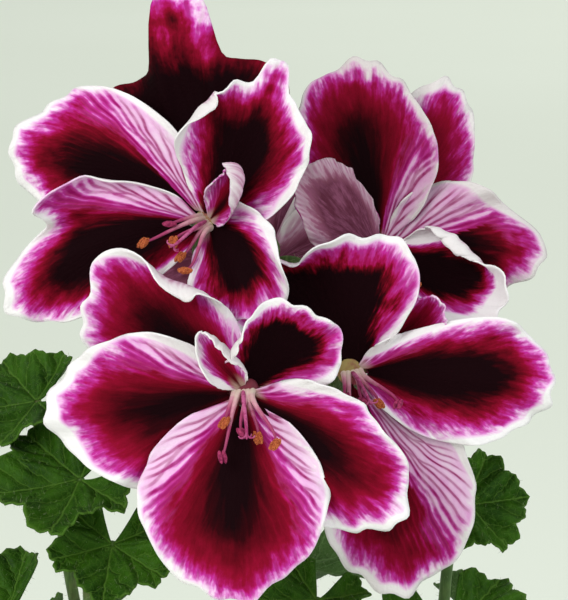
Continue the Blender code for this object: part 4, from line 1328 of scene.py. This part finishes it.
def make_leaf_veins():
    """From a point's place across and out: its share of a vein, and how much it bulges between veins."""
    group, given, out = new_effect("leaf_veins", "Across Out Seed", "Vein Bulge")
    across, reach, seed = given
    sway = noise(vector_of(across * 3.0, reach, seed), 0.5, 2.0)
    swayed = (sway - 0.5) * 0.05 + across
    off = off_middle(swayed * (0.5 * LEAF_LOBES) + 0.5 * LEAF_LOBES)
    gap = off * reach * (2 * LEAF_SPREAD / LEAF_LOBES)
    main = 1.0 - smooth_step(gap, 0.08, 0.42)
    slant = sway * 0.9 + (gap * -SIDE_VEIN_SLANT + reach) / SIDE_VEIN_SPACING
    aside = off_middle(slant) * (SIDE_VEIN_SPACING / SIDE_VEIN_SLANT)
    side = (1.0 - smooth_step(aside, 0.03, 0.26)) * (0.8 - smooth_step(gap, 5.0, 9.0))
    feed(out["Vein"], maths("MAXIMUM", main, side))
    feed(out["Bulge"], smooth_step(maths("MINIMUM", gap, aside), 0.0, 1.3))
    return group


LEAF_VEINS = make_leaf_veins()
print("effect:", LEAF_VEINS.name)

# %% Leaf finishes
# The upper face's tones are partly the leaf's own dark green and partly painted shade: they are darker than
# a lit leaf's green.
LEAF_TONES_WITH_SHADE = ((0.008, 0.035, 0.002), (0.033, 0.104, 0.005), (0.075, 0.165, 0.020))
LEAF_UNDER_TONES = ((0.040, 0.09, 0.02), (0.080, 0.16, 0.045), (0.13, 0.23, 0.08))
NET_SCALE = 1.1
LEAF_RELIEF = 0.0003


def leaf_finish(name, dark, light, vein_tone, roughness):
    """One face of a leaf: cloudy green, paler veins and net, and a paler rim."""
    finish, tree = new_finish(name, roughness, 0.09)
    across, reach, share = parts_of(attribute(tree, "spread"))
    flat = attribute(tree, "flat")
    vein, bulge = use_effect(LEAF_VEINS, Across=across, Out=reach, Seed=parts_of(flat)[2])
    cells = {"Vector": flat, "Scale": NET_SCALE}
    border = node(tree, "ShaderNodeTexVoronoi", cells, feature="DISTANCE_TO_EDGE").outputs["Distance"]
    net = 1.0 - smooth_step(Value(border), 0.0, 0.09)
    colour = blend(smooth_step(noise(flat, 0.16, 4.0, 0.6), 0.32, 0.68), dark, light)
    colour = blend(bulge * 0.25, colour, light)
    colour = blend(net * 0.35, colour, vein_tone)
    colour = blend(vein * 0.75, colour, vein_tone)
    colour = blend(smooth_step(share, 0.955, 1.0) * 0.6, colour, vein_tone)
    return dress(finish, colour, vein * -0.5 + (net * -0.2 + bulge), LEAF_RELIEF)


LEAF_UPPER = leaf_finish("leaf_upper_face", *LEAF_TONES_WITH_SHADE, 0.5)
LEAF_UNDER = leaf_finish("leaf_under_face", *LEAF_UNDER_TONES, 0.6)
print("leaf finishes:", LEAF_UPPER.name, LEAF_UNDER.name)

# %% Shape of a leaf
LEAF_MESH = (12 * LEAF_TEETH, 20)
LEAF_THICKNESS = 0.4
LEAF_PUCKER = 0.26
LEAF_CUP = 0.20
LOBE_DEPTH = 0.09
LOBE_FOLD = 0.075
STEM_KNOTS = 7
STEM_PATHS = {
    "trunk": (((0, 0, 54.3), (0, 0, 92), (3, 4, 124), (1, 7, 150)), (4.6, 2.8)),
    "left": (((0, 1, 96), (-12, -3, 104), (-17, -7, 118), (-19, -9, 139)), (2.8, 2.2)),
    "right": (((1, 3, 106), (10, 2, 112), (17, 4, 122), (20, 5, 142)), (2.8, 2.2)),
}


def saw(values):
    """A triangular wave from 0 to 1 and back for each whole number."""
    return 1 - np.abs((values % 1) - 0.5) * 2


def leaf_points(leaf, u, rho):
    """World points of a leaf blade, its flat places in millimetres, and its rays' lengths."""
    normal = unit(leaf.normal)
    point = np.array(leaf.point, float)
    point = unit(point - (point @ normal) * normal)
    side = np.cross(point, normal)
    angle = LEAF_SPREAD * u
    teeth = 0.93 + 0.12 * saw(0.5 * (u + 1) * LEAF_TEETH) ** 0.85 + 0.022 * saw(0.5 * (u + 1) * SMALL_TEETH)
    lobe = np.cos(math.pi * LEAF_LOBES * (u + 1) + math.pi)
    flat = rho * leaf.radius * (0.84 + 0.16 * np.cos(angle)) * (1 + LOBE_DEPTH * lobe) * teeth
    waves = 0.03 * rho**3 * np.sin(7 * u + leaf.radius) + 0.012 * rho**6 * np.sin(31 * u + leaf.radius)
    rise = leaf.radius * (LEAF_CUP * rho**2 - LOBE_FOLD * rho**1.5 * lobe + waves)
    off = np.abs(((u + 1) * 0.5 * LEAF_LOBES) % 1 - 0.5)
    gap = off * 2 / LEAF_LOBES * LEAF_SPREAD * flat
    slant = (flat - SIDE_VEIN_SLANT * gap) / SIDE_VEIN_SPACING
    rise = rise + LEAF_PUCKER * (np.cos(2 * math.pi * (slant + 0.45)) + 1) * np.clip(gap / 2.0, 0, 1)
    x, y = flat * np.cos(angle), flat * np.sin(angle)
    spot = np.array(leaf.centre, float) + point * x[:, None] + side * y[:, None] + normal * rise[:, None]
    return spot * MM, x, y, flat


def shoot_at(shoot, share):
    """The middle of a shoot at a share of its length, and its radius there, in millimetres."""
    path, (foot, tip) = STEM_PATHS[shoot]
    return bezier(path, share), foot + (tip - foot) * share


def petiole_path(leaf):
    """The leaf stalk's path, from the shoot to the middle of the blade, in millimetres."""
    knot, radius = shoot_at(leaf.shoot, leaf.knot / STEM_KNOTS)
    centre = np.array(leaf.centre, float)
    outward = unit((centre - knot) * (1, 1, 0))
    rising = unit(outward + (0, 0, 0.6))
    start = knot + outward * 0.7 * radius
    span = np.linalg.norm(centre - start)
    handles = (start, start + 0.35 * span * rising, centre - 0.3 * span * unit(leaf.normal), centre)
    return bezier(handles, np.linspace(0, 1, 36))


print("leaf mesh:", LEAF_MESH)

# %% Leaves
PETIOLE_RADIUS = 1.1
LEAF_HAIRS_PER_SQUARE_METRE = 0.35e6
LEAF_HAIR_SIZES = (0.4, 0.9)
LEAF_SEED = 7.0
Leaf = namedtuple("Leaf", "shoot knot centre normal point radius")

# Each leaf: the shoot and the knot of it that its stalk leaves, the middle of its blade, which way the
# blade faces and points, and its radius. The first seven are those round the flower head's lower edge.
LEAVES = (
    Leaf("left", 7, (-46, 0, 214), (-0.2, -0.45, 0.85), (-0.6, -0.2, 0.3), 13.5),
    Leaf("left", 6, (-37, -14, 203), (-0.1, -0.5, 0.85), (-0.9, -0.3, 0.1), 15.5),
    Leaf("left", 5, (-31, -18, 192), (0.1, -0.7, 0.7), (-0.1, -0.6, -0.6), 12),
    Leaf("right", 6, (34, -10, 197), (0.35, -0.75, 0.5), (0.9, 0.2, 0.1), 10.5),
    Leaf("right", 5, (30, -20, 176), (0.1, -0.5, 0.85), (0.3, -0.8, -0.3), 18),
    Leaf("trunk", 6, (6, -14, 180), (-0.1, -0.6, 0.75), (-0.4, -0.6, -0.4), 11.5),
    Leaf("left", 4, (-51, -17, 177), (-0.3, -0.5, 0.8), (-0.9, -0.3, 0.0), 18),
    Leaf("trunk", 5, (2, 44, 168), (0.1, 0.6, 0.8), (0.0, 0.9, -0.2), 22),
    Leaf("right", 6, (46, 30, 158), (0.5, 0.4, 0.8), (0.8, 0.5, -0.1), 23),
    Leaf("left", 6, (-46, 28, 157), (-0.5, 0.4, 0.8), (-0.8, 0.5, -0.1), 23),
    Leaf("right", 4, (60, -12, 148), (0.6, -0.3, 0.75), (0.9, -0.3, 0.0), 25),
    Leaf("trunk", 4, (14, -56, 144), (0.1, -0.7, 0.7), (0.1, -0.9, -0.1), 26),
    Leaf("left", 3, (-40, -46, 138), (-0.5, -0.6, 0.65), (-0.7, -0.7, -0.1), 25),
    Leaf("left", 2, (-60, 12, 136), (-0.6, 0.1, 0.75), (-0.9, 0.3, -0.1), 26),
    Leaf("trunk", 3, (4, 60, 134), (0.0, 0.6, 0.75), (0.1, 0.9, -0.1), 26),
)


def make_leaf(number, leaf):
    """A leaf on its stalk, with its down, as one piece."""
    u, rho = np.meshgrid(np.linspace(-1, 1, LEAF_MESH[0] + 1), np.linspace(0.03, 1, LEAF_MESH[1] + 1))
    u, rho = u.ravel(), rho.ravel()
    points, x, y, reach = leaf_points(leaf, u, rho)
    flat = np.stack([x, y, np.full_like(u, LEAF_SEED * number)], -1)
    sheet = (points, grid_faces(*LEAF_MESH), {"spread": np.stack([u, reach, rho], -1), "flat": flat})
    path = petiole_path(leaf)
    share = np.linspace(0, 1, len(path))
    radius = PETIOLE_RADIUS * MM * (1 + 0.35 * np.exp(-((share / 0.08) ** 2)) - 0.2 * share**6)
    pieces = [
        blade_of("lamina", sheet, LEAF_THICKNESS, LEAF_UPPER, LEAF_UNDER),
        rods("petiole", [path * MM], [radius], STALK_SKIN, 12),
    ]
    hairs = (LEAF_HAIRS_PER_SQUARE_METRE, LEAF_HAIR_SIZES, number)
    place_in_model(downy(f"leaf_blade_{number:02d}", pieces, *hairs), f"leaf_{number:02d}")


for number, leaf in enumerate(LEAVES, 1):
    make_leaf(number, leaf)

# %% [markdown]
# The stem is woody and brown where it leaves the soil, and green higher up. It is swollen at every knot,
# where a leaf stands or once stood, and the fallen leaves have left pale oval scars. Small scales stand at
# the knots, and the two side shoots end in folded young leaves. The colours follow the height.

# %% Stem finish
WOOD_TOP = 0.112
GREEN_FROM = 0.136
BARK_TONES = ((0.055, 0.033, 0.020), (0.20, 0.145, 0.095))
RING_TONE = (0.26, 0.20, 0.14)
GREEN_TONES = ((0.07, 0.14, 0.025), (0.14, 0.23, 0.055))


def stem_finish():
    """Bark below, green skin above, with rings and fine cracks."""
    finish, tree = new_finish("stem_bark", 0.7, 0.25)
    cracks = noise(object_place(tree, (1.0, 1.0, 0.25)), 1300.0, 4.0, 0.65)
    rings = noise(object_place(tree, (0.15, 0.15, 1.0)), 900.0, 2.0)
    patch = noise(object_place(tree), 160.0, 3.0)
    bark = blend(smooth_step(cracks, 0.35, 0.65), *BARK_TONES)
    bark = blend(smooth_step(rings, 0.5, 0.7) * 0.4, bark, RING_TONE)
    skin = blend(smooth_step(cracks, 0.3, 0.7), *GREEN_TONES)
    height = parts_of(object_place(tree))[2]
    green = smooth_step((patch - 0.5) * 0.03 + height, WOOD_TOP, GREEN_FROM)
    feed(shader_inputs(finish)["Roughness"], green * -0.3 + 0.85)
    return dress(finish, blend(green, bark, skin), rings * 0.5 + cracks, 0.0005)


STEM_BARK = stem_finish()
SCAR = dusty_finish("leaf_scar", (0.24, 0.18, 0.12), (0.40, 0.33, 0.24), 1500.0)
print("stem finishes ready")

# %% Stem
SCARS = (("trunk", 1, 0.6), ("trunk", 1.6, 3.4), ("trunk", 2, 5.1), ("left", 1, 2.9), ("right", 1, 0.3))
SCAR_SIZE = (1.3, 1.0, 0.45)
KNOT_SCALE_SIZE = (4.2, 1.5, 0.6)
YOUNG_LEAVES = 5
YOUNG_LEAF_SIZE = (2.4, 1.6)
LEAF_TURN = 2.4


def spoke(angle):
    """A level direction at an angle round the plant's middle."""
    return np.array((math.cos(angle), math.sin(angle), 0.0))


def swollen(shoot, share):
    """A shoot's radius in metres, with its swollen knots."""
    off = share * STEM_KNOTS - np.round(share * STEM_KNOTS)
    return shoot_at(shoot, share)[1] * MM * (1 + 0.14 * np.exp(-((off / 0.14) ** 2)))


def knot_scales(shoot):
    """Two small scales at each upper knot of a shoot."""
    rows = []
    for knot in range(2, STEM_KNOTS):
        place, radius = shoot_at(shoot, knot / STEM_KNOTS)
        rise = unit(shoot_at(shoot, knot / STEM_KNOTS + 0.02)[0] - place)
        for side in (0, 1):
            outward = spoke(LEAF_TURN * knot + math.pi * side)
            foot = place + outward * radius * 0.9
            rows.append(Scale(foot, rise + 0.7 * outward, -outward, *KNOT_SCALE_SIZE))
    return rows


def young_leaves(shoot):
    """Folded young leaves round a shoot's tip."""
    tip = np.array(STEM_PATHS[shoot][0][3], float)
    rows = []
    for k in range(YOUNG_LEAVES):
        outward = spoke(LEAF_TURN * k)
        foot = tip + 0.8 * outward - (0, 0, 2)
        rows.append(Scale(foot, (0, 0, 1) + 0.32 * outward, -outward, 8.0 - 0.6 * k, *YOUNG_LEAF_SIZE))
    return rows


def make_stem():
    """The stem with its side shoots, scars, scales and young leaves as one piece."""
    share = np.linspace(0, 1, 90)
    paths = [bezier(path, share) * MM for path, _ in STEM_PATHS.values()]
    pieces = [rods("shoots", paths, [swollen(shoot, share) for shoot in STEM_PATHS], STEM_BARK, 24)]
    for order, (shoot, knot, angle) in enumerate(SCARS):
        place, outward = shoot_at(shoot, knot / STEM_KNOTS)[0], spoke(angle)
        centre = (place + outward * STEM_PATHS[shoot][1][0]) * MM
        pieces.append(ball(f"scar_{order}", centre, frame_along(outward), SCAR_SIZE, SCAR))
    rows = [row for shoot in STEM_PATHS for row in knot_scales(shoot)]
    rows += [row for shoot in ("left", "right") for row in young_leaves(shoot)]
    pieces.append(scales("knot_scales", rows, lambda points: points * MM))
    place_in_model(joined("stem_and_shoots", pieces), "stem")


make_stem()

# %% [markdown]
# The soil is peaty potting mix: dark crumbs of all sizes, a few white grains that keep it loose, and an
# uneven top a finger's width below the rim. The body of it is a low swell, and the crumbs are strewn over it
# by the same tree that made the pollen. Only the top is ever seen, but the body is closed all round.

# %% Soil
SOIL_TOP = 80.0
SOIL_SWELL = 1.6
SOIL_EDGE = 48.8
SOIL_FLOOR_RADIUS = 35.3
SOIL_FLOOR = 3.9
SOIL_MESH = (120, 46)
CRUMBS_PER_SQUARE_METRE, CRUMB_SIZES, CRUMB_SEED = 4.2e5, (0.3, 1.25), 3
WHITE_PER_SQUARE_METRE, WHITE_SIZES, WHITE_SEED = 9.0e3, (0.7, 1.5), 4
PEAT_TONES = ((0.010, 0.006, 0.004), (0.055, 0.034, 0.021))
CRUMB_TONES = ((0.018, 0.010, 0.006), (0.10, 0.062, 0.038))
WHITE_TONES = ((0.42, 0.40, 0.36), (0.72, 0.71, 0.68))


def soil_finish(name, tones, scale):
    """Damp crumbs: dark, rough and uneven."""
    return mottled_finish(name, *tones, (scale, 5.0, 0.7), (0.92, 0.2), (0.35, 0.7), 0.0008)


def soil_height(x, y):
    """Height of the soil's top above the pot's foot, in millimetres."""
    swell = np.sin(0.11 * x + 1.3) * np.cos(0.13 * y - 0.4) + 0.5 * np.sin(0.31 * x - 0.27 * y)
    fine = 0.25 * np.sin(0.9 * x + 0.4 * y) * np.cos(0.7 * y - 0.5 * x)
    calm = np.clip((SOIL_EDGE - np.hypot(x, y)) / 3, 0, 1)
    return SOIL_TOP + SOIL_SWELL * swell * calm + fine


def revolved(name, rings, sides, finish):
    """A closed smooth body from rings of (radius, height), which run from one pole to the other."""
    turn = np.linspace(0, 2 * math.pi, sides, endpoint=False)
    points = [(r * math.cos(a), r * math.sin(a), z) for r, z in rings[1:-1] for a in turn]
    points = np.array([(0.0, 0.0, rings[0][1]), *points, (0.0, 0.0, rings[-1][1])]) * MM
    return put(name, mesh_of(name, points, pole_faces(len(rings) - 2, sides), finish))


def make_soil():
    """The soil with its crumbs and white grains as one piece."""
    peat = soil_finish("peat", PEAT_TONES, 900.0)
    crumb = soil_finish("crumb", CRUMB_TONES, 1500.0)
    white = soil_finish("white_grain", WHITE_TONES, 2200.0)
    rings = [(SOIL_EDGE * k / SOIL_MESH[1], SOIL_TOP) for k in range(SOIL_MESH[1] + 1)]
    rings += [(SOIL_FLOOR_RADIUS, SOIL_FLOOR), (0, SOIL_FLOOR)]
    body = revolved("soil_body", rings, SOIL_MESH[0], peat)
    for vert in body.data.vertices:
        x, y, z = (c / MM for c in vert.co)
        if z > SOIL_TOP - 1:
            vert.co.z = soil_height(x, y) * MM
    top = put("soil_top", body.data.copy())
    with edited(top.data) as builder:
        low = [face for face in builder.faces if face.calc_center_median().z < (SOIL_TOP - 5) * MM]
        bmesh.ops.delete(builder, geom=low, context="FACES")
    crumbs = strewn_over("crumbs", top, GRAIN, CRUMBS_PER_SQUARE_METRE, CRUMB_SIZES, CRUMB_SEED, crumb)
    grains = strewn_over("grains", top, GRAIN, WHITE_PER_SQUARE_METRE, WHITE_SIZES, WHITE_SEED, white)
    bpy.data.objects.remove(top)
    place_in_model(joined("potting_soil", [body, crumbs, grains]), "soil")


make_soil()

# Nothing more is strewn, so the patterns go.
for pattern in (GRAIN, HAIR):
    bpy.data.objects.remove(pattern)

# %% [markdown]
# The photograph does not show the pot, so it is a plain clay one of the size that such a plant is sold in.
# Fired clay is matt and a little uneven in colour. Lime from the water dries on it as a pale bloom, and
# the foot stays darker with damp. The wall is one turned profile, and four drain holes are cut through the
# floor.

# %% Clay finish
CLAY_TONES = ((0.34, 0.125, 0.062), (0.50, 0.215, 0.12))
SPECK_TONE = (0.62, 0.36, 0.24)
DAMP_TONE = (0.17, 0.062, 0.034)
LIME_TONE = (0.66, 0.56, 0.48)


def clay_finish():
    """Fired clay with turning lines, specks, a lime bloom and a damp foot."""
    finish, tree = new_finish("fired_clay", 0.85, 0.2)
    cloud = noise(object_place(tree), 22.0, 4.0, 0.6)
    speck = noise(object_place(tree), 1400.0, 2.0)
    lines = noise(object_place(tree, (0.04, 0.04, 1.0)), 1100.0, 2.0)
    lime = noise(object_place(tree, (1.0, 1.0, 0.45)), 60.0, 5.0, 0.7)
    height = parts_of(object_place(tree))[2]
    damp = 1.0 - smooth_step(cloud * 0.03 + height, 0.012, 0.045)
    bloom = smooth_step(lime, 0.52, 0.74) * smooth_step(height, 0.03, 0.075)
    colour = blend(smooth_step(cloud, 0.3, 0.7), *CLAY_TONES)
    colour = blend(smooth_step(speck, 0.58, 0.75) * 0.4, colour, SPECK_TONE)
    colour = blend(damp * 0.55, colour, DAMP_TONE)
    colour = blend(bloom * 0.6, colour, LIME_TONE)
    feed(shader_inputs(finish)["Roughness"], damp * -0.15 + 0.88)
    return dress(finish, colour, lines * 0.8 + speck * 0.5, 0.00035)


CLAY = clay_finish()
print("finish:", CLAY.name)

# %% Pot
POT_HEIGHT = 92.0
POT_BASE_RADIUS = 39.0
POT_FOOT_INSET = 0.4
POT_MOUTH_RADIUS = 54.0
POT_WALL = 3.0
POT_FLOOR = 3.6
POT_BAND_HEIGHT = 15.0
POT_BAND_STEP = 2.4
POT_SIDES = 128
POT_EDGE_RADIUS = 1.3
DRAIN_HOLES = 4
DRAIN_RADIUS = 4.0
DRAIN_CIRCLE = 24.0


def softened(profile, radius, steps=5):
    """A profile with its inner corners rounded."""
    corners = [np.array(corner, float) for corner in profile]
    rounded = [corners[0]]
    for before, corner, after in zip(corners, corners[1:], corners[2:]):
        reach = min(radius, 0.45 * np.linalg.norm(before - corner), 0.45 * np.linalg.norm(after - corner))
        start, end = corner + unit(before - corner) * reach, corner + unit(after - corner) * reach
        for t in np.linspace(0, 1, steps):
            rounded.append((1 - t) ** 2 * start + 2 * t * (1 - t) * corner + t * t * end)
    return [*rounded, corners[-1]]


def make_drill():
    """The four round bars that cut the drain holes, as one object."""
    drill = put("drill", bpy.data.meshes.new("drill"))
    bar = {"radius1": DRAIN_RADIUS * MM, "radius2": DRAIN_RADIUS * MM, "depth": 5 * POT_FLOOR * MM}
    with edited(drill.data) as builder:
        for k in range(DRAIN_HOLES):
            outward = Vector(spoke(2 * math.pi * (k + 0.5) / DRAIN_HOLES))
            place = Matrix.Translation(outward * DRAIN_CIRCLE * MM)
            bmesh.ops.create_cone(builder, cap_ends=True, segments=28, **bar, matrix=place)
    return drill


def make_pot():
    """The clay pot as one piece."""
    slope = (POT_MOUTH_RADIUS - POT_BASE_RADIUS) / POT_HEIGHT
    band_foot = POT_HEIGHT - POT_BAND_HEIGHT
    outer = POT_BASE_RADIUS + slope * band_foot
    profile = [
        (0, 0),
        (POT_BASE_RADIUS - POT_FOOT_INSET, 0),
        (outer, band_foot),
        (outer + POT_BAND_STEP, band_foot),
        (POT_MOUTH_RADIUS + POT_BAND_STEP, POT_HEIGHT),
        (POT_MOUTH_RADIUS - POT_WALL, POT_HEIGHT),
        (POT_BASE_RADIUS - POT_WALL, POT_FLOOR),
        (0, POT_FLOOR),
    ]
    pot = revolved("clay_pot", softened(profile, POT_EDGE_RADIUS), POT_SIDES, CLAY)
    with edited(pot.data) as builder:
        bmesh.ops.recalc_face_normals(builder, faces=builder.faces)
    drill = make_drill()
    cut = pot.modifiers.new("drain_holes", "BOOLEAN")
    cut.operation = "DIFFERENCE"
    cut.object = drill
    cut.solver = "EXACT"
    made = finished(pot)
    bpy.data.objects.remove(drill)
    made.data.set_sharp_from_angle(angle=math.radians(50))
    place_in_model(made, "pot")


make_pot()

# %% [markdown]
# The floor is a plain pale surface that runs far back. It belongs to the scene and not to the plant.

# %% Floor
FLOOR_HALF = 6.0
FLOOR_TONES = ((0.84, 0.88, 0.80), (0.90, 0.94, 0.87))


def make_floor():
    """A wide pale floor under the pot."""
    finish, tree = new_finish("pale_floor", 0.8, 0.1)
    dress(finish, blend(noise(object_place(tree), 1.2, 2.0), *FLOOR_TONES))
    corners = FLOOR_HALF * np.array([(-1, -1, 0), (1, -1, 0), (1, 1, 0), (-1, 1, 0)], float)
    floor = put("floor", mesh_of("floor", corners, [(0, 1, 2, 3)], finish))


make_floor()
print("floor:", 2 * FLOOR_HALF, "m wide")

# %% [markdown]
# Last, the scene is brought up to date. The looks never change the plant's size.

# %% The end
bpy.context.view_layer.update()
